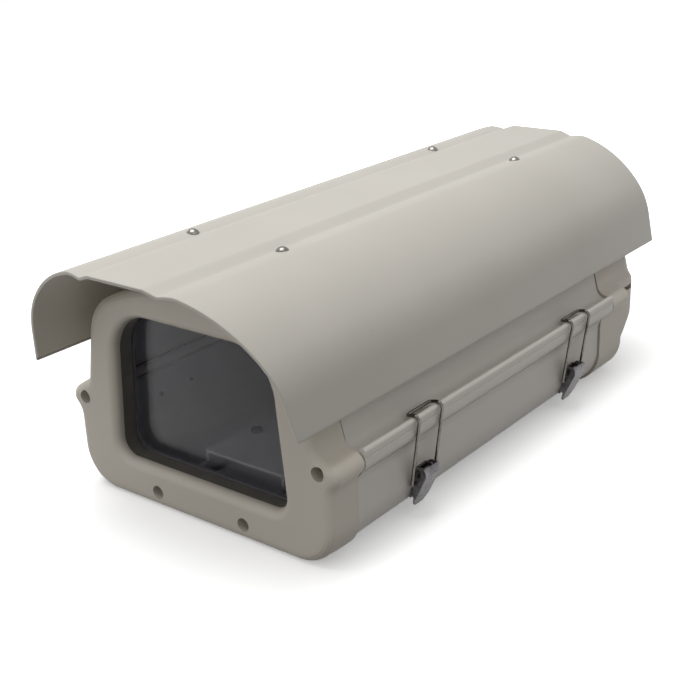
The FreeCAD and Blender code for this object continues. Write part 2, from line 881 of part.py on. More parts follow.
# Sunshield: one sheet with two stiffening grooves beside a flat band, and two bowed wings
def shield_path(inset):
    """Half section of the sheet from the middle to the wing's tip, moved inward."""
    path = Path(0, shield_top - inset, 0)
    path.line(size("band_half_width"))
    path.turn(size("step_radius") - inset, size("step_angle"))
    path.line(size("step_length"))
    path.turn(size("hump_radius") + inset, -size("hump_angle"))
    path.turn(size("ridge_radius") - inset, size("ridge_angle"))
    upper = math.radians(size("wing_angle_upper"))
    lower = math.radians(size("wing_angle_lower"))
    path.turn(size("wing_length_upper") / upper - inset, size("wing_angle_upper"))
    path.turn(size("wing_length_lower") / lower - inset, size("wing_angle_lower"))
    path.line(size("wing_tip_length"))
    return path


def shield_section(outer_inset, inner_inset):
    """Closed section of the sheet between two offsets from its outer face."""
    outer = shield_path(outer_inset)
    inner = shield_path(inner_inset)
    tip = Path(outer.point.x, outer.point.y, 180).line_to(inner.point.x, inner.point.y)
    return both_sides(outer.edges + inner.edges + tip.edges)


def rake_cut(body, end, rake, hand):
    """Slants one end of both wings: the cut leans away with width and with drop alike."""
    edge_x, edge_z = size("band_half_width"), shield_top
    tip = shield_path(0).point
    slope = hand * rake / ((tip.x - edge_x) + (edge_z - tip.y))
    level = Vector(1, 0, 1)
    leaning = Vector(1, 2 * slope, -1)
    sketch = tilted_sketch(body, Vector(edge_x, end, edge_z), level, leaning)
    draw(sketch, box(-beyond, 0, beyond, beyond))
    cut = feature(body, "Pocket", sketch)
    cut.Length = beyond
    cut.Reversed = hand < 0
    DOC.recompute()
    mirror(body, [cut])


def make_sunshield():
    body = new_body("sunshield")
    profile = new_sketch(body, FRONT, shield_front)
    draw(profile, shield_section(0, size("sheet")))
    pad(body, profile, size("shield_length"))
    rake_cut(body, shield_front, size("front_rake"), 1)
    rake_cut(body, -shield_front, size("rear_rake"), -1)
    holes = new_sketch(body, TOP, shield_top)
    circles_at(holes, shield_screw_places(), "shield_screw_hole")
    pocket(body, holes, beyond, forward=False)


# Small pieces: one template is turned or padded, then copied to its places
TO_REAR = Vector(0, 1, 0)
TO_FRONT = Vector(0, -1, 0)
RIGHT = Vector(1, 0, 0)
LEFT = Vector(-1, 0, 0)


def template(label):
    """Body that is copied to its places and not written to a file itself."""
    body = DOC.addObject("PartDesign::Body", "Template_" + label)
    body.Label = "template_" + label
    return body


def turned(body, points):
    """Turns a profile of radius and height about the upright axis."""
    profile = new_sketch(body, FRONT, 0)
    draw(profile, polygon(points))
    made = feature(body, "Revolution", profile)
    made.ReferenceAxis = (profile, ["V_Axis"])
    made.Angle = 360
    DOC.recompute()
    return made


def copies(label, source, places):
    """Group of separate solids, one at each placement."""
    group = DOC.addObject("Part::Feature", "Group_" + label)
    group.Label = label
    solids = []
    for place in places:
        shape = source.Shape.copy()
        shape.Placement = place.multiply(shape.Placement)
        solids += shape.Solids
    group.Shape = solids[0] if len(solids) == 1 else Part.makeCompound(solids)
    NODES.append(group)
    return group


def aimed(x, y, z, direction):
    """Placement that stands a piece at a point with its own Z axis along a direction."""
    return Placement(Vector(x, y, z), Rotation(Vector(0, 0, 1), direction))


def cap_screw(label, shank, length):
    """Socket head screw standing on its head's seat, with its shank pointing down."""
    body = template(label)
    head = size("cap_head") / 2
    depth = size("cap_head_height")
    radius = shank / 2 - size("thread_clearance")
    turned(body, [(0, -length), (radius, -length), (radius, 0), (head, 0), (head, depth), (0, depth)])
    socket = new_sketch(body, TOP, depth)
    across = size("socket_key") / math.sqrt(3)
    turns = [math.radians(60 * n) for n in range(6)]
    draw(socket, polygon([(across * math.cos(a), across * math.sin(a)) for a in turns]))
    pocket(body, socket, size("socket_depth"), forward=False)
    return body


def pan_screw(label, shank, length, head, depth):
    """Small screw or rivet with a flat head, standing on its head's seat."""
    body = template(label)
    radius = shank / 2 - size("thread_clearance")
    turned(body, [(0, -length), (radius, -length), (radius, 0), (head / 2, 0), (head / 2, depth), (0, depth)])
    return body


def make_case_screws():
    front_seat = size("bezel_face") + size("counterbore_depth")
    rear_seat = size("cap_ear_rear") - size("counterbore_depth")
    length = body_front - front_seat + size("thread_grip")
    screw = cap_screw("bezel_screw", size("case_screw"), length)
    copies("bezel_screws", screw, [aimed(x, front_seat, z, TO_FRONT) for x, z in port_places()])
    length = rear_seat - size("body_rear") + size("thread_grip")
    screw = cap_screw("cap_screw", size("case_screw"), length)
    copies("cap_screws", screw, [aimed(x, rear_seat, z, TO_REAR) for x, z in port_places()])
    screw = pan_screw("retainer_screw", size("small_screw"), size("small_screw_length") - 1,
                      size("small_screw") * 2, size("small_screw") * 0.7)
    copies("retainer_screws", screw, [aimed(x, retainer_rear, z, TO_REAR) for x, z in retainer_places()])


# Rear cap: casting with screw ears at its front and a rounded end, undercut for the cable glands
def make_cap():
    body = new_body("rear_cap")
    start = size("cap_skirt_front")
    front = new_sketch(body, FRONT, start)
    draw(front, casting_outline("rear", 0, 0))
    pad(body, front, size("cap_ear_rear") - start)
    turn = size("cap_round")
    straight = new_sketch(body, FRONT, size("cap_ear_rear") - 1)
    draw(straight, cap_outline(0))
    pad(body, straight, size("cap_rear") - turn - size("cap_ear_rear") + 1)
    sections = []
    for inset, step in rounding(turn):
        section = new_sketch(body, FRONT, size("cap_rear") - step)
        draw(section, cap_outline(inset))
        sections.append(section)
    loft(body, sections)
    above = new_sketch(body, SIDE, 0)
    draw(above, box(start - 1, size("parting_height") - size("seal_clearance"),
                    size("lid_rear") + size("lid_gap"), beyond))
    pocket_middle(body, above, 2 * beyond)
    toe, slope_y = size("cap_toe"), size("cap_slope_rear")
    run = (slope_y - toe) / (size("cap_slope_top") - size("cap_toe_high"))
    past = size("cap_rear") + 5
    high = size("cap_slope_top") + (past - slope_y) / run
    under = new_sketch(body, SIDE, 0)
    draw(under, polygon([(size("cap_heel_front"), -5), (size("cap_heel_front"), 0),
                         (toe, size("cap_toe_low")), (toe, size("cap_toe_high")),
                         (slope_y, size("cap_slope_top")), (past, high), (past, -5)]))
    pocket_middle(body, under, 2 * beyond)
    wall = size("casting_wall")
    floor = size("cap_toe_low") + wall
    hollow = new_sketch(body, FRONT, start)
    draw(hollow, casting_outline("rear", -wall - 1, floor))
    pocket(body, hollow, size("cap_ear_rear") - wall - start)
    upper = new_sketch(body, FRONT, start)
    level = size("cap_slope_top") + 10
    path = crown("rear", -wall)
    path.line(size("rear_side_length") - 6)
    path.line_to(path.point.x, level).line_to(0, level)
    draw(upper, both_sides(path.edges))
    pocket(body, upper, size("cap_rear") - turn - start)
    inset = size("cap_low_wall")
    inner = Vector(0, toe, size("cap_toe_high")) - gland_axis() * inset
    front_z = inner.z - (inner.y - toe + inset) / run
    roof = size("cap_slope_top") + inset / 2
    back = inner.y + (roof - inner.z) * run
    low = new_sketch(body, SIDE, 0)
    draw(low, polygon([(start, floor), (toe - inset, floor), (toe - inset, front_z), (back, roof),
                       (back, level + 1), (start, level + 1)]))
    pocket_middle(body, low, 2 * size("cap_low_hollow_half"))
    slim = new_sketch(body, FRONT, start)
    circles_at(slim, port_places()[:2], "port_radius", 1)
    pad(body, slim, size("cap_ear_rear") - start)
    past_lid = size("lid_rear") + size("lid_gap")
    sides = new_sketch(body, FRONT, past_lid)
    circles_at(sides, port_places()[:2], "boss_diameter")
    pad(body, sides, size("cap_ear_rear") - past_lid)
    low_bosses = new_sketch(body, FRONT, start)
    circles_at(low_bosses, port_places()[2:], "boss_diameter")
    pad(body, low_bosses, toe - start)
    holes = new_sketch(body, FRONT, start)
    circles_at(holes, port_places(), "screw_hole")
    pocket(body, holes, toe - start)
    sinks = new_sketch(body, FRONT, size("cap_ear_rear") - size("counterbore_depth"))
    circles_at(sinks, port_places(), "counterbore")
    pocket(body, sinks, 40)
    for hand in (1, -1):
        hole = tilted_sketch(body, gland_seat(hand), LEFT, gland_axis().cross(LEFT))
        draw(hole, disc(0, 0, size("gland_thread") / 2 + size("seal_clearance")))
        before = volume(body)
        cut = feature(body, "Pocket", hole)
        cut.Length = 16
        DOC.recompute()
        check_cut(body, before)


def gland_axis():
    """Direction in which the cables leave, square to the undercut's slope."""
    along = size("cap_slope_rear") - size("cap_toe")
    rise = size("cap_slope_top") - size("cap_toe_high")
    return Vector(0, rise, -along).normalize()


def gland_seat(hand):
    """Middle of a gland's seat on the slope."""
    y = (size("cap_toe") + size("cap_slope_rear")) / 2
    z = (size("cap_toe_high") + size("cap_slope_top")) / 2
    return Vector(hand * size("gland_half"), y, z)


# Cable glands: hexagonal body through the wall, locknut inside, rubber insert and dome nut outside
def make_glands():
    bore = size("cable_hole") / 2 + 1.0
    thread = size("gland_thread") / 2
    flange = size("gland_flange")
    body = template("gland_body")
    hexagon(body, size("gland_hex"), 0, flange)
    turned(body, [(0, -size("gland_shank")), (thread, -size("gland_shank")), (thread, flange / 2),
                  (0, flange / 2)])
    turned(body, [(0, flange / 2), (thread - 1.5, flange / 2), (thread - 1.5, flange + 7), (0, flange + 7)])
    hole = new_sketch(body, TOP, -size("gland_shank"))
    draw(hole, disc(0, 0, bore))
    pocket(body, hole, size("gland_shank") + flange + 10)
    lock = template("gland_locknut")
    hexagon(lock, size("gland_hex"), 0, size("gland_nut"))
    hole = new_sketch(lock, TOP, 0)
    draw(hole, disc(0, 0, thread + size("thread_clearance")))
    pocket(lock, hole, size("gland_nut"))
    dome = template("gland_dome")
    outer = size("gland_hex") / 2 - 0.3
    tall = size("gland_dome")
    turned(dome, [(thread - 1.4, 0), (outer, 0), (outer, tall - 4), (bore + 1.5, tall), (bore, tall),
                  (bore, tall - 2), (thread - 1.4, 7.2)])
    seal = template("gland_seal")
    radius = size("cable_hole") / 2
    turned(seal, [(radius, 0), (bore + 1.3, 0), (bore - 0.1, 2.5), (bore - 0.1, 4.2), (radius, 4.2)])
    inside = size("cap_low_wall")
    for name, hand in (("right", 1), ("left", -1)):
        axis = gland_axis()
        seat = gland_seat(hand)
        copies("gland_body_" + name, body, [aimed(*seat, axis)])
        nut_seat = seat - axis * (inside + size("gland_nut") + size("seal_clearance"))
        copies("gland_locknut_" + name, lock, [aimed(*nut_seat, axis)])
        copies("gland_dome_" + name, dome, [aimed(*(seat + axis * flange), axis)])
        copies("gland_seal_" + name, seal, [aimed(*(seat + axis * (flange + 7.05)), axis)])


def hexagon(body, flats, low, tall):
    """Hexagonal block, given across its flats."""
    corner = flats / math.sqrt(3)
    turns = [math.radians(60 * n) for n in range(6)]
    sketch = new_sketch(body, TOP, low)
    draw(sketch, polygon([(corner * math.cos(a), corner * math.sin(a)) for a in turns]))
    pad(body, sketch, tall)


# Sunshield fixings: spacers on the lid's ribs and domed screws, both fitted to the sheet's bow
def make_shield_fixings():
    half = size("shield_screw_half")
    spots = shield_screw_places()
    top = shield_top
    spacer = template("spacer")
    ring = new_sketch(spacer, TOP, rib_top)
    ring.AttachmentOffset = Placement(Vector(half, 0, rib_top), Rotation())
    circle(ring, 0, 0, "spacer_diameter")
    pad(spacer, ring, top - rib_top)
    trim_above(spacer, size("sheet") + size("sheet_fit"))
    hole = new_sketch(spacer, TOP, rib_top)
    draw(hole, disc(half, 0, size("shield_screw_hole") / 2))
    pocket(spacer, hole, top - rib_top)
    screw = template("shield_screw")
    head = size("dome_head") / 2
    tall = size("dome_height")
    rim_height = shield_top - size("crest_drop")
    crown_radius = (head * head + tall * tall) / (2 * tall)
    profile = tilted_sketch(screw, Vector(half, 0, 0), Vector(1, 0, 0), Vector(0, 0, 1))
    rim = Vector(head, rim_height, 0)
    peak = Vector(0, rim_height + tall, 0)
    low = rim_height - 1.5
    side = math.asin(head / crown_radius) / 2
    mid = Vector(crown_radius * math.sin(side), peak.y - crown_radius * (1 - math.cos(side)), 0)
    draw(profile, [Part.Arc(peak, mid, rim), Part.LineSegment(rim, Vector(head, low, 0)),
                   Part.LineSegment(Vector(head, low, 0), Vector(0, low, 0)),
                   Part.LineSegment(Vector(0, low, 0), peak)])
    made = feature(screw, "Revolution", profile)
    made.ReferenceAxis = (profile, ["V_Axis"])
    made.Angle = 360
    DOC.recompute()
    trim_below(screw, -size("sheet_fit"))
    shank = new_sketch(screw, TOP, peak.y - 1.5)
    draw(shank, disc(half, 0, size("shield_screw") / 2))
    pad(screw, shank, peak.y - 1.5 - (rib_top - size("shield_grip")), forward=False)
    flip = Rotation(Vector(0, 0, 1), 180)
    for name, source in (("shield_spacers", spacer), ("shield_screws", screw)):
        places = [Placement(Vector(0, y, 0), flip if x < 0 else Rotation()) for x, y in spots]
        copies(name, source, places)


def trim_above(body, inset):
    """Cuts away what reaches above an offset of the sheet's outer face."""
    path = shield_path(inset)
    x, z = path.point.x, path.point.y
    around = Path(x, z, 0).line_to(beyond, z).line_to(beyond, beyond).line_to(0, beyond)
    cover = path.edges + around.line_to(0, shield_top - inset).edges
    sketch = new_sketch(body, FRONT, 0)
    draw(sketch, cover)
    pocket_middle(body, sketch, beyond)


def trim_below(body, inset):
    """Cuts away what reaches below an offset of the sheet's outer face."""
    path = shield_path(inset)
    cover = path.edges + Path(path.point.x, path.point.y, 180).line_to(0, path.point.y).edges
    cover += Path(0, path.point.y, 90).line_to(0, shield_top - inset).edges
    sketch = new_sketch(body, FRONT, 0)
    draw(sketch, cover)
    pocket_middle(body, sketch, beyond)


# Camera tray: folded plate on four posts, with a slot for the camera's screw
def make_tray():
    body = new_body("camera_tray")
    thick = size("tray_sheet")
    half = size("tray_half_width")
    low = size("tray_top") - size("tray_flange")
    section = new_sketch(body, FRONT, size("tray_front"))
    draw(section, polygon([(-half, low), (-half + thick, low), (-half + thick, size("tray_top") - thick),
                           (half - thick, size("tray_top") - thick), (half - thick, low), (half, low),
                           (half, size("tray_top")), (-half, size("tray_top"))]))
    length = size("tray_rear") - size("tray_front")
    pad(body, section, length)
    slot = new_sketch(body, TOP, size("tray_top"))
    wide = size("tray_slot") / 2
    far = size("tray_post_reach") - 20
    draw(slot, box(-wide, -far, wide, far))
    pocket(body, slot, thick, forward=False)
    holes = new_sketch(body, TOP, size("tray_top"))
    circles_at(holes, tray_post_places(), "case_screw", 0.55)
    pocket(body, holes, thick, forward=False)
    tall = size("tray_top") - thick - size("foot_thick")
    post = template("tray_post")
    base = new_sketch(post, TOP, size("foot_thick"))
    circle(base, 0, 0, "tray_post")
    pad(post, base, tall)
    bore = new_sketch(post, TOP, size("foot_thick"))
    draw(bore, disc(0, 0, thread_radius))
    pocket(post, bore, tall)
    copies("tray_posts", post, [Placement(Vector(x, y, 0), Rotation()) for x, y in tray_post_places()])
    screw = pan_screw("tray_screw", size("case_screw"), tall * 0.7, size("case_screw") * 1.9, 2.4)
    copies("tray_screws", screw,
           [aimed(x, y, size("tray_top"), Vector(0, 0, 1)) for x, y in tray_post_places()])
    knob = pan_screw("camera_screw", size("camera_screw"), size("camera_screw_length"),
                     size("camera_knob"), 4.0)
    seat = size("tray_top") - thick
    copies("camera_screw", knob, [aimed(0, size("camera_screw_y"), seat, Vector(0, 0, -1))])


def rivet(label, shank, grip, head, tall):
    """Rivet with a cone-shaped head standing on its seat and a flat closing head below."""
    body = template(label)
    radius = shank / 2 - size("thread_clearance")
    tail = head * 0.4
    turned(body, [(0, -grip - tall), (tail, -grip - tall), (tail, -grip), (radius, -grip), (radius, 0),
                  (head / 2, 0), (head / 2, tall * 0.3), (head / 4, tall), (0, tall)])
    return body


# Latches: bracket on the body, pressed lever on a pin, wire bail over the lid's lip
def make_latches():
    pivot = Vector(size("body_wall_half") + size("pivot_out"), size("pivot_height"), 0)
    hang = pivot - Vector(size("bail_pivot_in"), size("bail_pivot_drop"), 0)
    pin = size("pivot_pin") / 2
    bracket = make_bracket(pivot, pin)
    lever = make_lever(pivot, pin, hang)
    long = size("lever_half_width") + size("running_clearance")
    shaft = headed_pin("latch_pin", pin, long, size("pin_head_rim"))
    thick = size("bracket_sheet")
    fixing = rivet("latch_rivet", size("rivet_shank"), thick + size("wall") + size("running_clearance"),
                   size("rivet_head"), size("rivet_head_height"))
    for name, y in (("front", -size("latch_reach")), ("rear", size("latch_reach"))):
        place = Placement(Vector(0, y, 0), Rotation())
        copies("latch_bracket_" + name, bracket, [place])
        copies("latch_lever_" + name, lever, [place])
        copies("latch_pin_" + name, shaft, [aimed(pivot.x, y, pivot.y, TO_REAR)])
        bail = DOC.addObject("Part::Feature", "Bail_" + name)
        bail.Label = "latch_bail_" + name
        bail.Shape = bail_wire(hang, y)
        NODES.append(bail)
    face = size("body_wall_half") + thick
    copies("latch_rivets", fixing,
           [aimed(face, y, size("rivet_height"), RIGHT) for y in latch_rivet_places()])


def headed_pin(label, radius, half, rim):
    """Pin along its own Z axis with a thin head at each end."""
    body = template(label)
    end = half + size("pin_head_height")
    turned(body, [(0, -end), (radius + rim, -end), (radius + rim, -half), (radius, -half), (radius, half),
                  (radius + rim, half), (radius + rim, end), (0, end)])
    return body


def corner_centre():
    """Centre of the round of the lower body's bottom corner, seen from the front."""
    corner = size("body_corner")
    return Vector(size("body_wall_half") - corner, size("body_floor") + corner, 0)


def make_bracket(pivot, pin):
    """Plate bent round the body's corner, with two ears for the pin."""
    body = template("bracket")
    thick, top = size("bracket_sheet"), size("bracket_top")
    corner = size("body_corner")
    centre = corner_centre()
    sides = []
    for radius in (corner, corner + thick):
        side = Path(centre.x + radius, top, -90)
        side.line(top - centre.y).turn(radius, size("bracket_wrap"))
        sides.append(side)
    inner, outer = sides
    ends = Path(inner.point.x, inner.point.y, 0).line_to(outer.point.x, outer.point.y).edges
    ends += Path(centre.x + corner, top, 0).line(thick).edges
    plate = new_sketch(body, FRONT, 0)
    draw(plate, inner.edges + outer.edges + ends)
    half = size("bracket_half_width")
    pad_middle(body, plate, 2 * half)
    face = centre.x + corner + thick / 2
    reach = size("ear_radius")
    ear = new_sketch(body, FRONT, half - thick)
    draw(ear, polygon([(face, top), (pivot.x, pivot.y + reach), (pivot.x, pivot.y - reach),
                       (face, pivot.y - size("ear_root"))]))
    flat = pad(body, ear, thick)
    round_end = new_sketch(body, FRONT, half - thick)
    draw(round_end, disc(pivot.x, pivot.y, reach))
    mirror(body, [flat, pad(body, round_end, thick)], FRONT)
    bore = new_sketch(body, FRONT, 0)
    draw(bore, disc(pivot.x, pivot.y, pin + size("running_clearance")))
    pocket_middle(body, bore, 4 * half)
    holes = new_sketch(body, SIDE, 0)
    for y in (-size("rivet_offset"), size("rivet_offset")):
        circle(holes, y, size("rivet_height"), "rivet_shank")
    pocket(body, holes, beyond)
    return body


def rolled(pivot, radius, turn):
    """Path of the lever's web from its upper edge round the pin, as far as the straight part."""
    first = math.radians(size("roll_start"))
    path = Path(pivot.x + radius * math.cos(first), pivot.y + radius * math.sin(first),
                size("roll_start") - 90)
    return path.turn(radius, turn)


def make_lever(pivot, pin, hang):
    """Pressed lever: a web rolled round the pin, two cheeks snug to the body and a tapered finger tab."""
    body = template("lever")
    half, thick = size("lever_half_width"), size("lever_wall")
    roll = size("roll_radius")
    heel = Vector(size("heel_half"), size("heel_height"), 0)
    to_heel = heel - pivot
    foot = math.degrees(math.atan2(to_heel.y, to_heel.x) + math.acos(roll / to_heel.Length))
    outward = rotated(Vector(1, 0, 0), foot)
    tab = heel + rotated(outward, -90) * size("tab_length")
    outer = rolled(pivot, roll, size("roll_start") - foot).line_to(tab.x, tab.y)
    tab_back = tab - outward * thick
    inner = rolled(pivot, roll - thick, size("roll_start") - foot).line_to(tab_back.x, tab_back.y)
    top, top_back = outer.edges[0].StartPoint, inner.edges[0].StartPoint
    web = new_sketch(body, FRONT, 0)
    draw(web, outer.edges + inner.edges + [Part.LineSegment(top, top_back), Part.LineSegment(tab, tab_back)])
    pad_middle(body, web, 2 * half)
    corners = new_sketch(body, SIDE, 0)
    low = tab.y - thick
    narrow = size("tab_half_width")
    for hand in (1, -1):
        draw(corners, polygon([(hand * half, heel.y), (hand * narrow, tab.y), (hand * narrow, low),
                               (hand * (half + thick), low), (hand * (half + thick), heel.y)]))
    pocket(body, corners, beyond)
    gap = size("lever_gap")
    snug = Path(size("body_wall_half") + gap, pivot.y, -90)
    centre = corner_centre()
    snug.line(pivot.y - centre.y).turn(size("body_corner") + gap, size("cheek_wrap")).line_to(heel.x, heel.y)
    radius = pivot.x - size("body_wall_half") - gap
    over = Path(pivot.x - radius, pivot.y, 90).turn(radius, 90).line_to(top.x, top.y)
    front = rolled(pivot, roll, size("roll_start") - foot).line_to(heel.x, heel.y)
    cheek = new_sketch(body, FRONT, half - thick)
    draw(cheek, snug.edges + over.edges + front.edges)
    sides = [pad(body, cheek, thick)]
    bead = new_sketch(body, FRONT, half)
    turn = 90 - size("bead_start")
    near = Path(pivot.x, pivot.y + radius, 0).turn(radius, turn)
    wide = radius + size("bead_width")
    far = Path(pivot.x, pivot.y + wide, 0).turn(wide, turn)
    caps = Path(pivot.x, pivot.y + radius, 0).line_to(pivot.x, pivot.y + wide).edges
    caps += Path(near.point.x, near.point.y, 0).line_to(far.point.x, far.point.y).edges
    draw(bead, near.edges + far.edges + caps)
    sides.append(pocket(body, bead, size("bead_depth"), forward=False))
    mirror(body, sides, FRONT)
    holes = new_sketch(body, FRONT, 0)
    clear = size("running_clearance")
    draw(holes, disc(pivot.x, pivot.y, pin + clear))
    draw(holes, disc(hang.x, hang.y, size("bail_wire") / 2 + clear))
    pocket_middle(body, holes, 4 * half)
    return body


def bail_wire(hang, y):
    """Bent wire: ends in the lever's cheeks, two legs, hooks over the lip and a crossbar."""
    start = Vector(hang.x, 0, hang.y)
    across = Vector(0, 1, 0)
    half = size("bail_half_width")
    bend = size("wire_bend")
    hook = size("hook_radius")
    bead = size("lip_bead")
    centre = Vector(lip_half - bead + size("hook_out"), 0, lip_top - bead - size("hook_down"))
    to_centre = centre - start
    span = to_centre.Length
    lean = math.atan2(to_centre.z, to_centre.x) - math.asin(hook / span)
    leg = Vector(math.cos(lean), 0, math.sin(lean))
    touch = start + leg * math.sqrt(span * span - hook * hook)
    first = lean - math.pi / 2
    last = first + math.radians(size("hook_angle"))

    def around(angle):
        """Point on the hook's arc in the middle plane."""
        return centre + Vector(math.cos(angle), 0, math.sin(angle)) * hook

    def corner(at, come, go):
        """Bend whose straight sides would meet at a point."""
        begin, end = at - come * bend, at + go * bend
        hub = begin + go * bend
        mid = hub + ((begin - hub) + (end - hub)).normalize() * bend
        return begin, mid, end

    out = Vector(-math.sin(last), 0, math.cos(last))
    near = start + across * size("bail_half_inner")
    one = corner(start + across * half, across, leg)
    tip = around(last) + across * half
    two = corner(tip + out * (bend + size("hook_tail")), out, -across)
    edges = [Part.LineSegment(near, one[0]).toShape(), Part.Arc(*one).toShape()]
    edges.append(Part.LineSegment(one[2], touch + across * half).toShape())
    edges.append(Part.Arc(touch + across * half, around((first + last) / 2) + across * half, tip).toShape())
    edges += [Part.LineSegment(tip, two[0]).toShape(), Part.Arc(*two).toShape()]
    other = [edge.mirror(Vector(0, 0, 0), across) for edge in edges]
    flat = Vector(two[2].x, -two[2].y, two[2].z)
    spine = Part.Wire(Part.__sortEdges__(edges + [Part.LineSegment(two[2], flat).toShape()] + other))
    ring = Part.Wire([Part.Circle(near, across, size("bail_wire") / 2).toShape()])
    wire = spine.makePipeShell([ring], True, False)
    wire.translate(Vector(0, y, 0))
    return wire


# Hinges: leaf on the body with two knuckles, leaf on the lid with one, and a pin
def make_hinges():
    axis_x, axis_z = hinge_x, size("parting_height")
    half = size("hinge_width") / 2
    knuckle = size("hinge_knuckle")
    sheet = size("hinge_sheet")
    pin = size("hinge_pin") / 2
    wall_x = -size("body_wall_half")
    middle_half = half * 0.375
    leaf = template("body_leaf")
    section = new_sketch(leaf, FRONT, 0)
    low, high = size("leaf_bottom"), axis_z - size("leaf_bend_drop")
    draw(section, polygon([(wall_x, low), (wall_x, high), (axis_x + 1.2, axis_z - 1.8),
                           (axis_x - 1.1, axis_z - 2.9), (wall_x - sheet, high - 2.2),
                           (wall_x - sheet, low)]))
    pad_middle(leaf, section, 2 * half)
    barrel = new_sketch(leaf, FRONT, 0)
    draw(barrel, disc(axis_x, axis_z, knuckle))
    pad_middle(leaf, barrel, 2 * half)
    gap = new_sketch(leaf, FRONT, 0)
    draw(gap, box(axis_x - 10, low + 8, wall_x - sheet - 0.4, axis_z + 10))
    pocket_middle(leaf, gap, 2 * middle_half)
    hinge_bore(leaf, axis_x, axis_z, pin)
    hinge_rivet_holes(leaf, size("leaf_rivet_height"))
    flap = template("lid_leaf")
    face = -lip_half - size("running_clearance")
    back = face - sheet + 0.15
    bottom = axis_z + size("flap_rise")
    plate = new_sketch(flap, FRONT, 0)
    draw(plate, box(back, bottom, face, bottom + size("flap_height")))
    pad_middle(flap, plate, 2 * half)
    narrow = middle_half - size("hinge_gap")
    web = new_sketch(flap, FRONT, 0)
    draw(web, polygon([(back, bottom + sheet), (face, bottom + sheet),
                       (face - 0.25, axis_z + 0.7), (axis_x + 1.3, axis_z + 2.0)]))
    pad_middle(flap, web, 2 * narrow)
    eye = new_sketch(flap, FRONT, 0)
    draw(eye, disc(axis_x, axis_z, knuckle))
    pad_middle(flap, eye, 2 * narrow)
    hinge_bore(flap, axis_x, axis_z, pin)
    hinge_rivet_holes(flap, lid_rivet_height)
    shaft = headed_pin("hinge_pin", pin, half + size("running_clearance"), size("pin_head_rim"))
    for name, y in (("front", -size("hinge_reach")), ("rear", size("hinge_reach"))):
        place = Placement(Vector(0, y, 0), Rotation())
        copies("hinge_body_leaf_" + name, leaf, [place])
        copies("hinge_lid_leaf_" + name, flap, [place])
        copies("hinge_pin_" + name, shaft, [aimed(axis_x, y, axis_z, TO_REAR)])
    clear = size("running_clearance")
    low_rivet = rivet("body_leaf_rivet", size("rivet_shank"), sheet + size("wall") + clear,
                      size("rivet_head"), size("rivet_head_height"))
    spots = hinge_rivet_places()
    copies("hinge_body_rivets", low_rivet,
           [aimed(wall_x - sheet, y, size("leaf_rivet_height"), LEFT) for y in spots])
    grip = -back - (band_half - size("skirt_wall")) + clear
    high_rivet = rivet("lid_leaf_rivet", size("rivet_shank"), grip, size("rivet_head"),
                       size("rivet_head_height"))
    copies("hinge_lid_rivets", high_rivet, [aimed(back, y, lid_rivet_height, LEFT) for y in spots])


def hinge_bore(body, axis_x, axis_z, pin):
    """Hole for the hinge pin through all knuckles."""
    bore = new_sketch(body, FRONT, 0)
    draw(bore, disc(axis_x, axis_z, pin + size("running_clearance")))
    pocket_middle(body, bore, 2 * size("hinge_width"))


def hinge_rivet_holes(body, height):
    """Two rivet holes through a leaf."""
    holes = new_sketch(body, SIDE, 0)
    offset = size("hinge_width") * 0.35
    for y in (-offset, offset):
        circle(holes, y, height, "rivet_shank")
    pocket(body, holes, beyond, forward=False)


# Build, check and write
make_bezel()
make_window()
make_lower_body()
make_gaskets()
make_lid()
make_side_seals()
make_sunshield()
make_shield_fixings()
make_cap()
make_case_screws()
make_glands()
make_tray()
make_latches()
make_hinges()

DOC.recompute()
for item in DOC.Objects:
    if "Invalid" in item.State or "Error" in item.State:
        raise RuntimeError("%s did not build" % item.Label)

os.makedirs("parts", exist_ok=True)
for node in NODES:
    shape = node.Shape
    if shape.isNull() or not shape.isValid() or not shape.Solids:
        raise RuntimeError("%s has no valid solid" % node.Label)
    shape.exportStep(os.path.join("parts", node.Label + ".step"))
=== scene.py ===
"""Outdoor camera housing with hinged lid, wire latches and sheet sunshield, dressed to render."""

import json
import logging
import math
from dataclasses import dataclass, field
from enum import Enum
from typing import Sequence

import bmesh
import bpy
import numpy as np
from mathutils import Matrix, Vector


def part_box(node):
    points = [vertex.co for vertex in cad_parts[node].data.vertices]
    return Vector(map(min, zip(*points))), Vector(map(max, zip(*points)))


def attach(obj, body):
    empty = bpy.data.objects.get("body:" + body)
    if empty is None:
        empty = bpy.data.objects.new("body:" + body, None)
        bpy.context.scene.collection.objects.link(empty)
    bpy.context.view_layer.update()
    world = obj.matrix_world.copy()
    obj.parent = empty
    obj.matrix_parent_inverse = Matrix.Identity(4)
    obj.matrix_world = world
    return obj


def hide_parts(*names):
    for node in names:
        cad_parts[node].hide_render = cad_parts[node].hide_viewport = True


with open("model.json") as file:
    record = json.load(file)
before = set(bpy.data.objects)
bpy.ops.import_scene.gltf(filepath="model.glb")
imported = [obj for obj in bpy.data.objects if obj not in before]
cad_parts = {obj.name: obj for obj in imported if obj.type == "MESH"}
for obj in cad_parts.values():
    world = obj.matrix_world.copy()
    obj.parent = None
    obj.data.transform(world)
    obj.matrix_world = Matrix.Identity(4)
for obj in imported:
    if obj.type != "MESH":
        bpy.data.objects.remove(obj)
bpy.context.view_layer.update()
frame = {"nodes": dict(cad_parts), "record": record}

LOG = logging.getLogger("housing")
MM = 0.001
Array = np.ndarray

# Points of a solid nearer than this many metres are one point, and faces that turn by less than
# this many degrees are one face
MERGE_DISTANCE = 2e-6
FLAT_TURN = 0.6


# Shader node groups: each effect is built once and used by several finishes
class SocketKind(Enum):
    """Kinds of socket that the groups use."""

    NUMBER = "NodeSocketFloat"
    COLOUR = "NodeSocketColor"
    VECTOR = "NodeSocketVector"


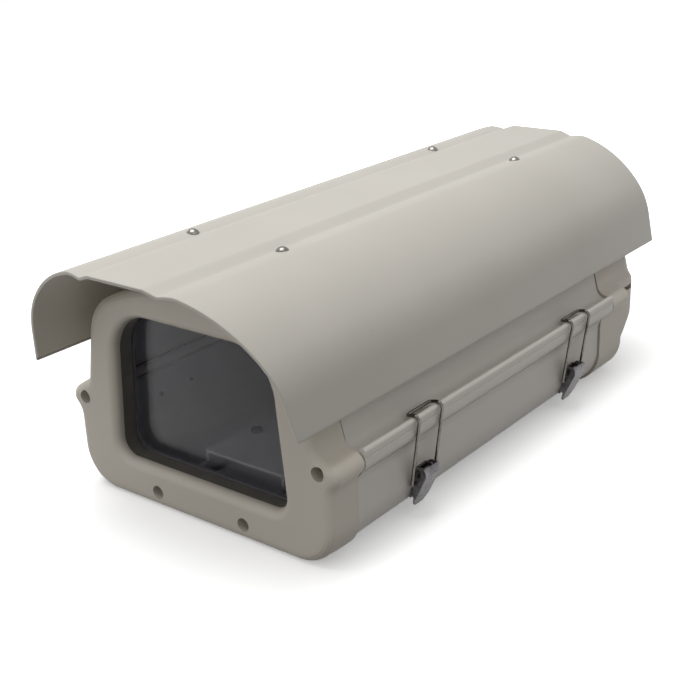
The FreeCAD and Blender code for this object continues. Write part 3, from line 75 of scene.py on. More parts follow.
class EffectGroup:
    """A shader node group under construction, with named inputs and outputs."""

    def __init__(self, name: str) -> None:
        """Starts an empty group.

        Args:
            name: Name of the group.
        """
        self.tree = bpy.data.node_groups.new(name, "ShaderNodeTree")
        self.entry = self.tree.nodes.new("NodeGroupInput")
        self.exit = self.tree.nodes.new("NodeGroupOutput")

    def takes(self, name: str, kind: SocketKind, default: object) -> None:
        """Adds an input with a default value."""
        socket = self.tree.interface.new_socket(name, in_out="INPUT", socket_type=kind.value)
        socket.default_value = default

    def gives(self, name: str, kind: SocketKind, source: bpy.types.NodeSocket) -> None:
        """Adds an output fed by a socket."""
        self.tree.interface.new_socket(name, in_out="OUTPUT", socket_type=kind.value)
        self.tree.links.new(source, self.exit.inputs[name])

    def given(self, name: str) -> bpy.types.NodeSocket:
        """Returns the socket that carries an input into the group."""
        return self.entry.outputs[name]

    def node(self, kind: str, **settings: object) -> bpy.types.Node:
        """Adds a node; settings that are sockets are linked, others are set.

        Args:
            kind: Type name of the node without the shader prefix.
            settings: Input names with underscores for spaces, or node attributes.

        Returns:
            The new node.
        """
        return add_node(self.tree, kind, **settings)


def add_node(tree: bpy.types.NodeTree, kind: str, **settings: object) -> bpy.types.Node:
    """Adds a node to a tree and fills its inputs and attributes.

    Args:
        tree: Node tree that gets the node.
        kind: Type name of the node without the shader prefix.
        settings: Input names with underscores for spaces, numbered inputs as in_0, or attributes.

    Returns:
        The new node.
    """
    node = tree.nodes.new("ShaderNode" + kind)
    attributes = {k: v for k, v in settings.items() if hasattr(node, k) and not k.startswith("in_")}
    for key, value in attributes.items():
        setattr(node, key, value)
    for key, value in settings.items():
        if key in attributes:
            continue
        numbered = key.startswith("in_")
        socket = node.inputs[int(key[3:]) if numbered else key.replace("_", " ")]
        if isinstance(value, bpy.types.NodeSocket):
            tree.links.new(value, socket)
        else:
            socket.default_value = value
    return node


def coat_group() -> bpy.types.NodeTree:
    """Powder coat: fine orange peel, slow tone drift, rare specks and a slightly uneven sheen.

    Returns:
        The group's tree, with Colour, Roughness and Height outputs.
    """
    group = EffectGroup("coat_skin")
    group.takes("Paint", SocketKind.COLOUR, (0.5, 0.5, 0.5, 1))
    group.takes("Drift", SocketKind.COLOUR, (0.4, 0.4, 0.4, 1))
    group.takes("Peel Size", SocketKind.NUMBER, 1.0)
    group.takes("Base Roughness", SocketKind.NUMBER, 0.5)
    speck = (0.20, 0.18, 0.15, 1)
    place = group.node("TexCoord").outputs["Object"]
    peel_scale = group.node("Math", operation="DIVIDE", in_0=1000.0, in_1=group.given("Peel Size"))
    peel = group.node("TexNoise", Vector=place, Scale=peel_scale.outputs[0], Detail=2.5,
                      Roughness=0.55)
    drift = group.node("TexNoise", Vector=place, Scale=11.0, Detail=3.0, Roughness=0.5)
    drifted = group.node("MapRange", Value=drift.outputs["Fac"], From_Min=0.3, From_Max=0.75)
    base = group.node("Mix", data_type="RGBA", in_0=drifted.outputs[0], in_6=group.given("Paint"),
                      in_7=group.given("Drift"))
    fleck = group.node("TexNoise", Vector=place, Scale=420.0, Detail=1.0)
    rare = group.node("MapRange", Value=fleck.outputs["Fac"], From_Min=0.74, From_Max=0.82,
                      To_Max=0.15)
    specked = group.node("Mix", data_type="RGBA", in_0=rare.outputs[0], in_6=base.outputs[2],
                         in_7=speck)
    sheen = group.node("MapRange", Value=peel.outputs["Fac"], To_Min=-0.05, To_Max=0.07)
    rough = group.node("Math", operation="ADD", in_0=sheen.outputs[0],
                       in_1=group.given("Base Roughness"))
    group.gives("Colour", SocketKind.COLOUR, specked.outputs[2])
    group.gives("Roughness", SocketKind.NUMBER, rough.outputs[0])
    group.gives("Height", SocketKind.NUMBER, peel.outputs["Fac"])
    return group.tree


def drawn_group() -> bpy.types.NodeTree:
    """Drawn or brushed metal: fine streaks along one direction, with a few darker stains.

    Returns:
        The group's tree, with Colour, Roughness and Height outputs.
    """
    group = EffectGroup("drawn_metal")
    group.takes("Metal", SocketKind.COLOUR, (0.6, 0.6, 0.6, 1))
    group.takes("Stain", SocketKind.COLOUR, (0.3, 0.3, 0.3, 1))
    group.takes("Stretch", SocketKind.VECTOR, (1.0, 1.0, 1.0))
    group.takes("Base Roughness", SocketKind.NUMBER, 0.3)
    place = group.node("TexCoord").outputs["Object"]
    stretched = group.node("VectorMath", operation="MULTIPLY", in_0=place,
                           in_1=group.given("Stretch"))
    streak = group.node("TexNoise", Vector=stretched.outputs[0], Scale=1.0, Detail=4.0,
                        Roughness=0.6)
    stain = group.node("TexNoise", Vector=place, Scale=160.0, Detail=4.0, Roughness=0.6)
    stained = group.node("MapRange", Value=stain.outputs["Fac"], From_Min=0.45, From_Max=0.75)
    colour = group.node("Mix", data_type="RGBA", in_0=stained.outputs[0], in_6=group.given("Metal"),
                        in_7=group.given("Stain"))
    spread = group.node("MapRange", Value=streak.outputs["Fac"], To_Min=-0.10, To_Max=0.14)
    rough = group.node("Math", operation="ADD", in_0=spread.outputs[0],
                       in_1=group.given("Base Roughness"))
    group.gives("Colour", SocketKind.COLOUR, colour.outputs[2])
    group.gives("Roughness", SocketKind.NUMBER, rough.outputs[0])
    group.gives("Height", SocketKind.NUMBER, streak.outputs["Fac"])
    return group.tree


def moulded_group() -> bpy.types.NodeTree:
    """Moulded rubber or plastic: fine matt grain with dusty paler patches.

    Returns:
        The group's tree, with Colour, Roughness and Height outputs.
    """
    group = EffectGroup("moulded_skin")
    group.takes("Body", SocketKind.COLOUR, (0.05, 0.05, 0.05, 1))
    group.takes("Dust", SocketKind.COLOUR, (0.1, 0.1, 0.1, 1))
    group.takes("Base Roughness", SocketKind.NUMBER, 0.6)
    place = group.node("TexCoord").outputs["Object"]
    grain = group.node("TexNoise", Vector=place, Scale=2400.0, Detail=2.0)
    patch = group.node("TexNoise", Vector=place, Scale=70.0, Detail=4.0)
    dusty = group.node("MapRange", Value=patch.outputs["Fac"], From_Min=0.45, From_Max=0.8)
    colour = group.node("Mix", data_type="RGBA", in_0=dusty.outputs[0], in_6=group.given("Body"),
                        in_7=group.given("Dust"))
    spread = group.node("MapRange", Value=grain.outputs["Fac"], To_Min=-0.06, To_Max=0.08)
    rough = group.node("Math", operation="ADD", in_0=spread.outputs[0],
                       in_1=group.given("Base Roughness"))
    group.gives("Colour", SocketKind.COLOUR, colour.outputs[2])
    group.gives("Roughness", SocketKind.NUMBER, rough.outputs[0])
    group.gives("Height", SocketKind.NUMBER, grain.outputs["Fac"])
    return group.tree


def inner_group() -> bpy.types.NodeTree:
    """Mask of the faces that look towards the housing's middle line.

    With p the place across the housing, c the middle line and n the normal, the mask is one where
    (p - c) . n is below a small negative limit, in metres, and p lies nearer to the middle than
    the side walls' outside. The limit keeps the end faces, which are square to p - c, out of it.

    Returns:
        The group's tree, with a Mask output.
    """
    group = EffectGroup("inner_side")
    group.takes("Centre Height", SocketKind.NUMBER, 0.06)
    group.takes("Half Width", SocketKind.NUMBER, 0.1)
    limit = -0.004
    source = group.node("TexCoord")
    parts = group.node("SeparateXYZ", Vector=source.outputs["Object"])
    drop = group.node("Math", operation="SUBTRACT", in_0=parts.outputs["Z"],
                      in_1=group.given("Centre Height"))
    spoke = group.node("CombineXYZ", X=parts.outputs["X"], Z=drop.outputs[0])
    facing = group.node("VectorMath", operation="DOT_PRODUCT", in_0=spoke.outputs[0],
                        in_1=source.outputs["Normal"])
    inward = group.node("Math", operation="LESS_THAN", in_0=facing.outputs["Value"], in_1=limit)
    off = group.node("Math", operation="ABSOLUTE", in_0=parts.outputs["X"])
    near = group.node("Math", operation="LESS_THAN", in_0=off.outputs[0],
                      in_1=group.given("Half Width"))
    mask = group.node("Math", operation="MULTIPLY", in_0=inward.outputs[0], in_1=near.outputs[0])
    group.gives("Mask", SocketKind.NUMBER, mask.outputs[0])
    return group.tree


class Effects:
    """The node groups, built when the scene starts."""

    def __init__(self) -> None:
        """Builds each group once."""
        self.coat = coat_group()
        self.inner = inner_group()
        self.drawn = drawn_group()
        self.moulded = moulded_group()


def rgb(code: str) -> tuple[float, float, float, float]:
    """Turns a screen colour into linear light by the standard curve of screens.

    A channel c up to 0.04045 becomes c / 12.92, and a brighter one ((c + 0.055) / 1.055) ^ 2.4.

    Args:
        code: Six hexadecimal digits.

    Returns:
        Linear red, green and blue, and an alpha of one.
    """
    channels = [int(code[i:i + 2], 16) / 255 for i in (0, 2, 4)]
    linear = [c / 12.92 if c <= 0.04045 else ((c + 0.055) / 1.055) ** 2.4 for c in channels]
    return (*linear, 1.0)


def start_material(name: str) -> tuple[bpy.types.Material, bpy.types.Node]:
    """Makes a material with nodes.

    Args:
        name: Name of the material.

    Returns:
        The material and its surface shader.
    """
    material = bpy.data.materials.new(name)
    material.use_nodes = True
    return material, material.node_tree.nodes["Principled BSDF"]


def place_effect(material: bpy.types.Material, tree: bpy.types.NodeTree, values: dict[str, object],
                 relief: float, distance: float) -> None:
    """Puts a node group into a material and joins its outputs to the surface shader.

    Args:
        material: Material that gets the effect.
        tree: The group's tree.
        values: Value of each of the group's inputs.
        relief: Strength of the bump.
        distance: Height of the bump in metres.
    """
    surface = material.node_tree
    effect = surface.nodes.new("ShaderNodeGroup")
    effect.node_tree = tree
    for key, value in values.items():
        effect.inputs[key].default_value = value
    shader = surface.nodes["Principled BSDF"]
    bump = add_node(surface, "Bump", Strength=relief, Distance=distance,
                    Height=effect.outputs["Height"])
    surface.links.new(effect.outputs["Colour"], shader.inputs["Base Color"])
    surface.links.new(effect.outputs["Roughness"], shader.inputs["Roughness"])
    surface.links.new(bump.outputs["Normal"], shader.inputs["Normal"])


@dataclass(frozen=True)
class Coat:
    """Powder-coated finish.

    Attributes:
        name: Name of the material.
        paint: Colour of the coat.
        drift: Colour that the coat drifts to in soft patches.
        peel: Size of the orange peel in millimetres.
        roughness: Middle roughness.
        relief: Strength of the orange peel.
        depth: Height of the orange peel in metres.
        gloss: Specular level.
        inside: Colour of the faces towards the housing's middle line, or nothing for the coat's.
    """

    name: str
    paint: str
    drift: str
    peel: float
    roughness: float
    relief: float = 0.22
    depth: float = 0.0002
    gloss: float = 0.42
    inside: str = ""

    def material(self, effects: Effects) -> bpy.types.Material:
        """Builds the finish's material.

        Args:
            effects: The node groups.

        Returns:
            The new material.
        """
        material, shader = start_material(self.name)
        values = {"Paint": rgb(self.paint), "Drift": rgb(self.drift), "Peel Size": self.peel,
                  "Base Roughness": self.roughness}
        place_effect(material, effects.coat, values, self.relief, self.depth)
        shader.inputs["Specular IOR Level"].default_value = self.gloss
        if self.inside:
            surface = material.node_tree
            side = surface.nodes.new("ShaderNodeGroup")
            side.node_tree = effects.inner
            paint = shader.inputs["Base Color"].links[0].from_socket
            both = add_node(surface, "Mix", data_type="RGBA", in_0=side.outputs["Mask"],
                            in_6=paint, in_7=rgb(self.inside))
            surface.links.new(both.outputs[2], shader.inputs["Base Color"])
        return material


@dataclass(frozen=True)
class Metal:
    """Bare metal with drawn streaks.

    Attributes:
        name: Name of the material.
        metal: Colour of the metal.
        stain: Colour of its stains.
        stretch: Streaks for each metre along the three axes; the lowest is the streaks' direction.
        roughness: Middle roughness.
        relief: Strength of the streaks.
        depth: Height of the streaks in metres.
    """

    name: str
    metal: str
    stain: str
    stretch: tuple[float, float, float]
    roughness: float
    relief: float = 0.08
    depth: float = 0.0001

    def material(self, effects: Effects) -> bpy.types.Material:
        """Builds the finish's material.

        Args:
            effects: The node groups.

        Returns:
            The new material.
        """
        material, shader = start_material(self.name)
        values = {"Metal": rgb(self.metal), "Stain": rgb(self.stain), "Stretch": self.stretch,
                  "Base Roughness": self.roughness}
        place_effect(material, effects.drawn, values, self.relief, self.depth)
        shader.inputs["Metallic"].default_value = 1.0
        return material


@dataclass(frozen=True)
class Moulded:
    """Rubber, plastic or dull paint with a fine grain.

    Attributes:
        name: Name of the material.
        body: Colour of the material.
        dust: Colour of its dusty patches.
        roughness: Middle roughness.
        relief: Strength of the grain.
        depth: Height of the grain in metres.
    """

    name: str
    body: str
    dust: str
    roughness: float
    relief: float = 0.15
    depth: float = 0.0001

    def material(self, effects: Effects) -> bpy.types.Material:
        """Builds the finish's material.

        Args:
            effects: The node groups.

        Returns:
            The new material.
        """
        material, _ = start_material(self.name)
        values = {"Body": rgb(self.body), "Dust": rgb(self.dust),
                  "Base Roughness": self.roughness}
        place_effect(material, effects.moulded, values, self.relief, self.depth)
        return material


@dataclass(frozen=True)
class Pane:
    """Coated window glass that reflects little, with a faint haze of dust.

    Light on its way to and from the inside passes straight through, so that the inside is lit
    evenly; the camera sees the glass itself.

    Attributes:
        name: Name of the material.
        tint: Colour of clean glass.
        dust: Colour of dusty glass.
        mirror: Colour of what it reflects.
        index: Index of refraction.
    """

    name: str = "window_pane"
    tint: str = "E2E2E5"
    dust: str = "DADADD"
    mirror: str = "101012"
    index: float = 1.5

    def material(self, effects: Effects) -> bpy.types.Material:
        """Builds the finish's material; it needs none of the node groups.

        Args:
            effects: The node groups; not used.

        Returns:
            The new material.
        """
        material, shader = start_material(self.name)
        surface = material.node_tree
        place = add_node(surface, "TexCoord").outputs["Object"]
        haze = add_node(surface, "TexNoise", Vector=place, Scale=25.0, Detail=1.0)
        dusty = add_node(surface, "MapRange", Value=haze.outputs["Fac"], From_Min=0.4, From_Max=0.8)
        tone = add_node(surface, "Mix", data_type="RGBA", in_0=dusty.outputs[0],
                        in_6=rgb(self.tint), in_7=rgb(self.dust))
        surface.links.new(tone.outputs[2], shader.inputs["Base Color"])
        shader.inputs["Roughness"].default_value = 0.0
        shader.inputs["Specular Tint"].default_value = rgb(self.mirror)
        shader.inputs["Transmission Weight"].default_value = 1.0
        shader.inputs["IOR"].default_value = self.index
        path = add_node(surface, "LightPath")
        lighting = add_node(surface, "Math", operation="MAXIMUM",
                            in_0=path.outputs["Is Shadow Ray"], in_1=path.outputs["Is Diffuse Ray"])
        through = surface.nodes.new("ShaderNodeBsdfTransparent")
        through.inputs["Color"].default_value = rgb(self.tint)
        blend = surface.nodes.new("ShaderNodeMixShader")
        surface.links.new(lighting.outputs[0], blend.inputs[0])
        surface.links.new(shader.outputs[0], blend.inputs[1])
        surface.links.new(through.outputs[0], blend.inputs[2])
        surface.links.new(blend.outputs[0], surface.nodes["Material Output"].inputs["Surface"])
        return material


class Finish(Enum):
    """All finishes of the housing."""

    # The casting, extrusion and sheet coats stand for one paint: the sheet's is darker to offset
    # the strong top lamp (painted shade) and the casting's paler to offset the weak front lamp
    # (painted light)
    CASTING = Coat("cast_coat", "C9C2B6", "C4BDB0", 0.9, 0.50)
    EXTRUSION = Coat("extrusion_coat", "CDC8C1", "C8C3BB", 0.8, 0.46, inside="CECED2")
    SHEET = Coat("sheet_coat", "B4B0A8", "AFABA2", 0.8, 0.48)
    # Paler copy of the sheet's paint for its underside: painted light where the wings shade it
    SHEET_UNDER_PAINTED_LIGHT = Coat("sheet_under_painted_light", "DAD4C8", "D2CCBF", 0.8, 0.55)
    PLATE = Moulded("plate_paint", "C2C2C4", "CACACC", 0.5)
    INNER = Moulded("inner_paint", "96969A", "9E9EA2", 0.6)
    HINGE = Metal("hinge_steel", "A9A6A1", "999590", (60.0, 60.0, 60.0), 0.4, 0.03)
    STEEL = Metal("bright_steel", "86837F", "64615D", (2500.0, 120.0, 2500.0), 0.16, 0.04)
    WIRE = Metal("latch_wire", "6C6965", "484541", (900.0, 900.0, 200.0), 0.2)
    LEVER = Metal("lever_steel", "747274", "4E4C4E", (200.0, 200.0, 1800.0), 0.36, 0.12)
    RUBBER = Moulded("rubber", "232221", "3A3836", 0.7)
    GASKET = Moulded("window_rubber", "57534E", "625E58", 0.7)
    PLASTIC = Moulded("gland_plastic", "2B2B2C", "454444", 0.5)
    GLASS = Pane()


class Paints:
    """Materials by finish, each made when first asked for."""

    def __init__(self) -> None:
        """Builds the node groups and starts with no material."""
        self.effects = Effects()
        self.made: dict[Finish, bpy.types.Material] = {}

    def get(self, finish: Finish) -> bpy.types.Material:
        """Gives the material of a finish, and makes it the first time.

        Args:
            finish: One of the housing's finishes.

        Returns:
            Its material.
        """
        if finish not in self.made:
            self.made[finish] = finish.value.material(self.effects)
        return self.made[finish]


# Meshes: grids of points worked out as whole arrays
def smooth_by_angle(piece: bpy.types.Object, degrees: float = 32.0) -> None:
    """Shades a piece smooth, apart from its sharp edges.

    Args:
        piece: Piece to shade.
        degrees: Angle between two faces above which their edge is sharp.
    """
    mesh = piece.data
    mesh.shade_smooth()
    mesh.set_sharp_from_angle(angle=math.radians(degrees))


def mesh_piece(name: str, points: Array, faces: list[Sequence[int]], finish: Finish,
               paints: Paints) -> bpy.types.Object:
    """Makes an object from points and faces.

    Args:
        name: Name of the piece.
        points: Points in millimetres, one row each.
        faces: Point numbers of each face.
        finish: Finish of the piece.
        paints: Source of materials.

    Returns:
        The new object, linked to the scene.
    """
    mesh = bpy.data.meshes.new(name)
    mesh.from_pydata((np.asarray(points, float) * MM).tolist(), [], faces)
    mesh.materials.append(paints.get(finish))
    mesh.validate()
    piece = bpy.data.objects.new(name, mesh)
    bpy.context.scene.collection.objects.link(piece)
    return piece


def grid_faces(rows: int, columns: int, loop: bool) -> list[tuple[int, ...]]:
    """Quads of a grid whose rows are rings of points.

    A quad joins points j and j + 1 of ring i to the same points of ring i + 1, and the last point
    of a ring is followed by its first.

    Args:
        rows: Number of rings.
        columns: Points in each ring.
        loop: Whether the last ring joins the first.

    Returns:
        Four point numbers for each quad.
    """
    strips = rows if loop else rows - 1
    row, column = np.meshgrid(np.arange(strips), np.arange(columns), indexing="ij")
    after, above = (column + 1) % columns, (row + 1) % rows
    quads = np.stack([row * columns + column, row * columns + after, above * columns + after,
                      above * columns + column], axis=-1).reshape(-1, 4)
    return [tuple(q) for q in quads.tolist()]


def ring_solid(rings: Array, loop: bool = False) -> tuple[Array, list[Sequence[int]]]:
    """Closed solid through rings of points, with flat ends unless the rings close on themselves.

    Args:
        rings: Array of rings, points and coordinates.
        loop: Whether the last ring joins the first.

    Returns:
        Points and faces.
    """
    rows, columns, _ = rings.shape
    faces: list[Sequence[int]] = grid_faces(rows, columns, loop)
    if not loop:
        faces.append(list(range(columns))[::-1])
        faces.append(list(range((rows - 1) * columns, rows * columns)))
    return rings.reshape(-1, 3), faces


def outward(piece: bpy.types.Object) -> None:
    """Turns all faces of a closed piece outward.

    Args:
        piece: Piece whose mesh is turned.
    """
    work = bmesh.new()
    work.from_mesh(piece.data)
    bmesh.ops.recalc_face_normals(work, faces=work.faces)
    work.to_mesh(piece.data)
    work.free()


def soften(piece: bpy.types.Object, width: float, segments: int = 2, angle: float = 35.0) -> None:
    """Rounds the sharp edges of a piece.

    Args:
        piece: Piece that gets the bevel.
        width: Width of the bevel in millimetres.
        segments: Strips across the bevel.
        angle: Angle in degrees above which an edge is rounded.
    """
    bevel = piece.modifiers.new("edges", "BEVEL")
    bevel.width = width * MM
    bevel.segments = segments
    bevel.limit_method = "ANGLE"
    bevel.angle_limit = math.radians(angle)
    bevel.harden_normals = False
    bevel.use_clamp_overlap = True
    weigh = piece.modifiers.new("flats", "WEIGHTED_NORMAL")
    weigh.keep_sharp = True


def cad_copy(node: str, finish: Finish, paints: Paints, body: str, width: float) -> str:
    """Piece made from a merged copy of a solid's mesh, smoothed and with softened edges.

    Args:
        node: Solid that the piece stands for.
        finish: Finish of the piece.
        paints: Source of materials.
        body: Moving body that carries the piece.
        width: Width of the softened edges in millimetres.

    Returns:
        The piece's name.
    """
    name = node + "_edged"
    work = bmesh.new()
    work.from_mesh(frame["nodes"][node].data)
    bmesh.ops.remove_doubles(work, verts=work.verts, dist=MERGE_DISTANCE)
    bmesh.ops.dissolve_limit(work, angle_limit=math.radians(FLAT_TURN), verts=work.verts,
                             edges=work.edges)
    mesh = bpy.data.meshes.new(name)
    work.to_mesh(mesh)
    work.free()
    mesh.materials.clear()
    mesh.materials.append(paints.get(finish))
    piece = bpy.data.objects.new(name, mesh)
    bpy.context.scene.collection.objects.link(piece)
    smooth_by_angle(piece)
    soften(piece, width)
    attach(piece, body)
    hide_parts(node)
    return name


def dress(nodes: Sequence[str], finish: Finish, paints: Paints) -> None:
    """Gives solids of the frame their finish.

    Args:
        nodes: Names of the solids.
        finish: Finish that they get.
        paints: Source of materials.
    """
    for name in nodes:
        mesh = frame["nodes"][name].data
        mesh.materials.clear()
        mesh.materials.append(paints.get(finish))


def follow(steps: Sequence[tuple[float, float]], spacing: float) -> tuple[Array, Array]:
    """Points along runs and arcs that start at the origin and head along the first axis.

    Each step is an arc of a length that turns by an angle. Over a short stretch ds the heading
    turns by dh, and the chord is ds * sin(dh / 2) / (dh / 2) along the middle heading.

    Args:
        steps: Length and turn to the left in degrees of each step.
        spacing: Largest distance between points.

    Returns:
        Points and the headings there in radians.
    """
    lengths, turns = np.array(steps, float).T
    counts = np.maximum(2, np.ceil(lengths / spacing).astype(int))
    short = np.repeat(lengths / counts, counts)
    bend = np.repeat(np.radians(turns) / counts, counts)
    heading = np.concatenate([[0.0], np.cumsum(bend)])
    middle = heading[:-1] + bend / 2
    chord = short * np.sinc(bend / 2 / np.pi)
    moves = np.stack([chord * np.cos(middle), chord * np.sin(middle)], axis=1)
    return np.concatenate([np.zeros((1, 2)), np.cumsum(moves, axis=0)]), heading


def arc(radius: float, turn: float) -> tuple[float, float]:
    """Step of a path: the length of an arc of some radius, and its turn in degrees."""
    return math.radians(abs(turn)) * radius, turn


def revolve(profile: Sequence[tuple[float, float, float]], sides: int, lobes: int,
            depth: float) -> Array:
    """Rings of a turned form with a fluted grip.

    Radius r and height z turn about the upright axis, and at an angle a the radius is
    r - share * depth * (1 - cos(lobes * a)) / 2.

    Args:
        profile: Radius, height and share of the fluting of each ring.
        sides: Points in each ring.
        lobes: Number of flutes.
        depth: Depth of the flutes.

    Returns:
        Array of rings, points and coordinates.
    """
    rows = np.array(profile, float)
    angle = np.linspace(0, 2 * np.pi, sides, endpoint=False)
    flute = depth * (1 - np.cos(lobes * angle)) / 2
    radius = rows[:, :1] - rows[:, 2:] * flute
    height = np.broadcast_to(rows[:, 1:2], radius.shape)
    return np.stack([radius * np.cos(angle), radius * np.sin(angle), height], axis=-1)


def aimed(rings: Array, place: Sequence[float], direction: Sequence[float]) -> Array:
    """Turns rings so that their upright axis points along a direction, and moves them to a place.

    Args:
        rings: Array of rings, points and coordinates.
        place: Where the rings' origin comes to lie.
        direction: Where their upright axis comes to point.

    Returns:
        The moved rings.
    """
    turn = Vector((0, 0, 1)).rotation_difference(Vector(direction)).to_matrix()
    return rings @ np.array(turn).T + np.array(place, float)


def rounded_route(corners: Array, radii: Sequence[float], arc_points: int = 10) -> Array:
    """Points along a route of straight runs whose corners are arcs.

    At each corner the arc starts and ends a distance radius * tan(turn / 2) from it.

    Args:
        corners: Ends and corners of the route.
        radii: Radius at each inner corner.
        arc_points: Points on each arc.

    Returns:
        The route's points.
    """
    parts = [corners[:1]]
    for before, at, after, radius in zip(corners, corners[1:], corners[2:], radii):
        come = (at - before) / np.linalg.norm(at - before)
        leave = (after - at) / np.linalg.norm(after - at)
        turn = np.arccos(np.clip(come @ leave, -1, 1))
        reach = radius * np.tan(turn / 2)
        hub = at + (leave - come) / np.linalg.norm(leave - come) * radius / np.cos(turn / 2)
        spoke = at - come * reach - hub
        angle = np.linspace(0, turn, arc_points)[:, None]
        parts.append(hub + spoke * np.cos(angle) + come * radius * np.sin(angle))
    return np.concatenate([*parts, corners[-1:]])


def tube(route: Array, radius: float, sides: int = 14) -> Array:
    """Rings of a round wire along a route, carried without twist from one point to the next.

    A ring's points are route + radius * (u cos a + v sin a), with u and v square to the route.

    Args:
        route: Points of the centre line.
        radius: Radius of the wire.
        sides: Points in each ring.

    Returns:
        Array of rings, points and coordinates.
    """
    along = np.gradient(route, axis=0)
    along /= np.linalg.norm(along, axis=1, keepdims=True)
    side = np.cross(along[0], (0.31, 0.17, 0.93))
    sides_out = []
    for heading in along:
        side = side - heading * (side @ heading)
        side /= np.linalg.norm(side)
        sides_out.append(side)
    first = np.array(sides_out)[:, None, :]
    second = np.cross(along, first[:, 0, :])[:, None, :]
    angle = np.linspace(0, 2 * np.pi, sides, endpoint=False)[None, :, None]
    return route[:, None, :] + radius * (first * np.cos(angle) + second * np.sin(angle))


def ringed(name: str, rings: Array, finish: Finish, paints: Paints, body: str, node: str,
           loop: bool = False) -> bpy.types.Object:
    """Smooth piece through rings of points that stands for one solid of the frame.

    Args:
        name: Name of the piece.
        rings: Array of rings, points and coordinates.
        finish: Finish of the piece.
        paints: Source of materials.
        body: Moving body that carries the piece.
        node: Solid of the frame that the piece stands for.
        loop: Whether the last ring joins the first.

    Returns:
        The new object.
    """
    points, faces = ring_solid(rings, loop)
    piece = mesh_piece(name, points, faces, finish, paints)
    outward(piece)
    smooth_by_angle(piece)
    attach(piece, body)
    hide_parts(node)
    return piece


# Sub-assemblies: each names its solids, builds its own pieces and gives every one its finish
@dataclass
class Assembly:
    """Pieces that belong together.

    Attributes:
        paints: Source of materials.
        body: Moving body that carries the pieces.
        pieces: Names of the pieces made or dressed so far.
    """

    paints: Paints
    body: str = "housing"
    pieces: list[str] = field(default_factory=list)

    def keep(self, finish: Finish, *nodes: str) -> None:
        """Keeps solids of the frame and gives them a finish."""
        dress(nodes, finish, self.paints)
        self.pieces += nodes

    def edge(self, finish: Finish, width: float, node: str, body: str = "") -> None:
        """Replaces a solid by a copy with softened edges, on a body of its own if one is named."""
        name = cad_copy(node, finish, self.paints, body or self.body, width)
        self.pieces.append(name)

    def build(self) -> None:
        """Builds the pieces; each sub-assembly has its own."""
        raise NotImplementedError


@dataclass
class FrontCasting(Assembly):
    """Front bezel with the window, its gasket, retainer and screws."""

    def build(self) -> None:
        """Dresses the casting and the window."""
        self.keep(Finish.CASTING, "front_bezel")
        self.keep(Finish.GLASS, "window_glass")
        self.keep(Finish.GASKET, "window_gasket")
        self.keep(Finish.INNER, "window_retainer")
        self.keep(Finish.STEEL, "retainer_screws", "bezel_screws")


@dataclass
class LowerBody(Assembly):
    """Extruded lower body with its gaskets."""

    def build(self) -> None:
        """Dresses the extrusion and its gaskets."""
        self.keep(Finish.EXTRUSION, "lower_body")
        self.keep(Finish.RUBBER, "front_gasket", "rear_gasket", "lid_seal_front",
                  "lid_seal_rear", "lid_side_seals")


@dataclass
class Lid(Assembly):
    """Extruded lid."""

    body: str = "cover"

    def build(self) -> None:
        """Dresses the extrusion."""
        self.keep(Finish.EXTRUSION, "lid")


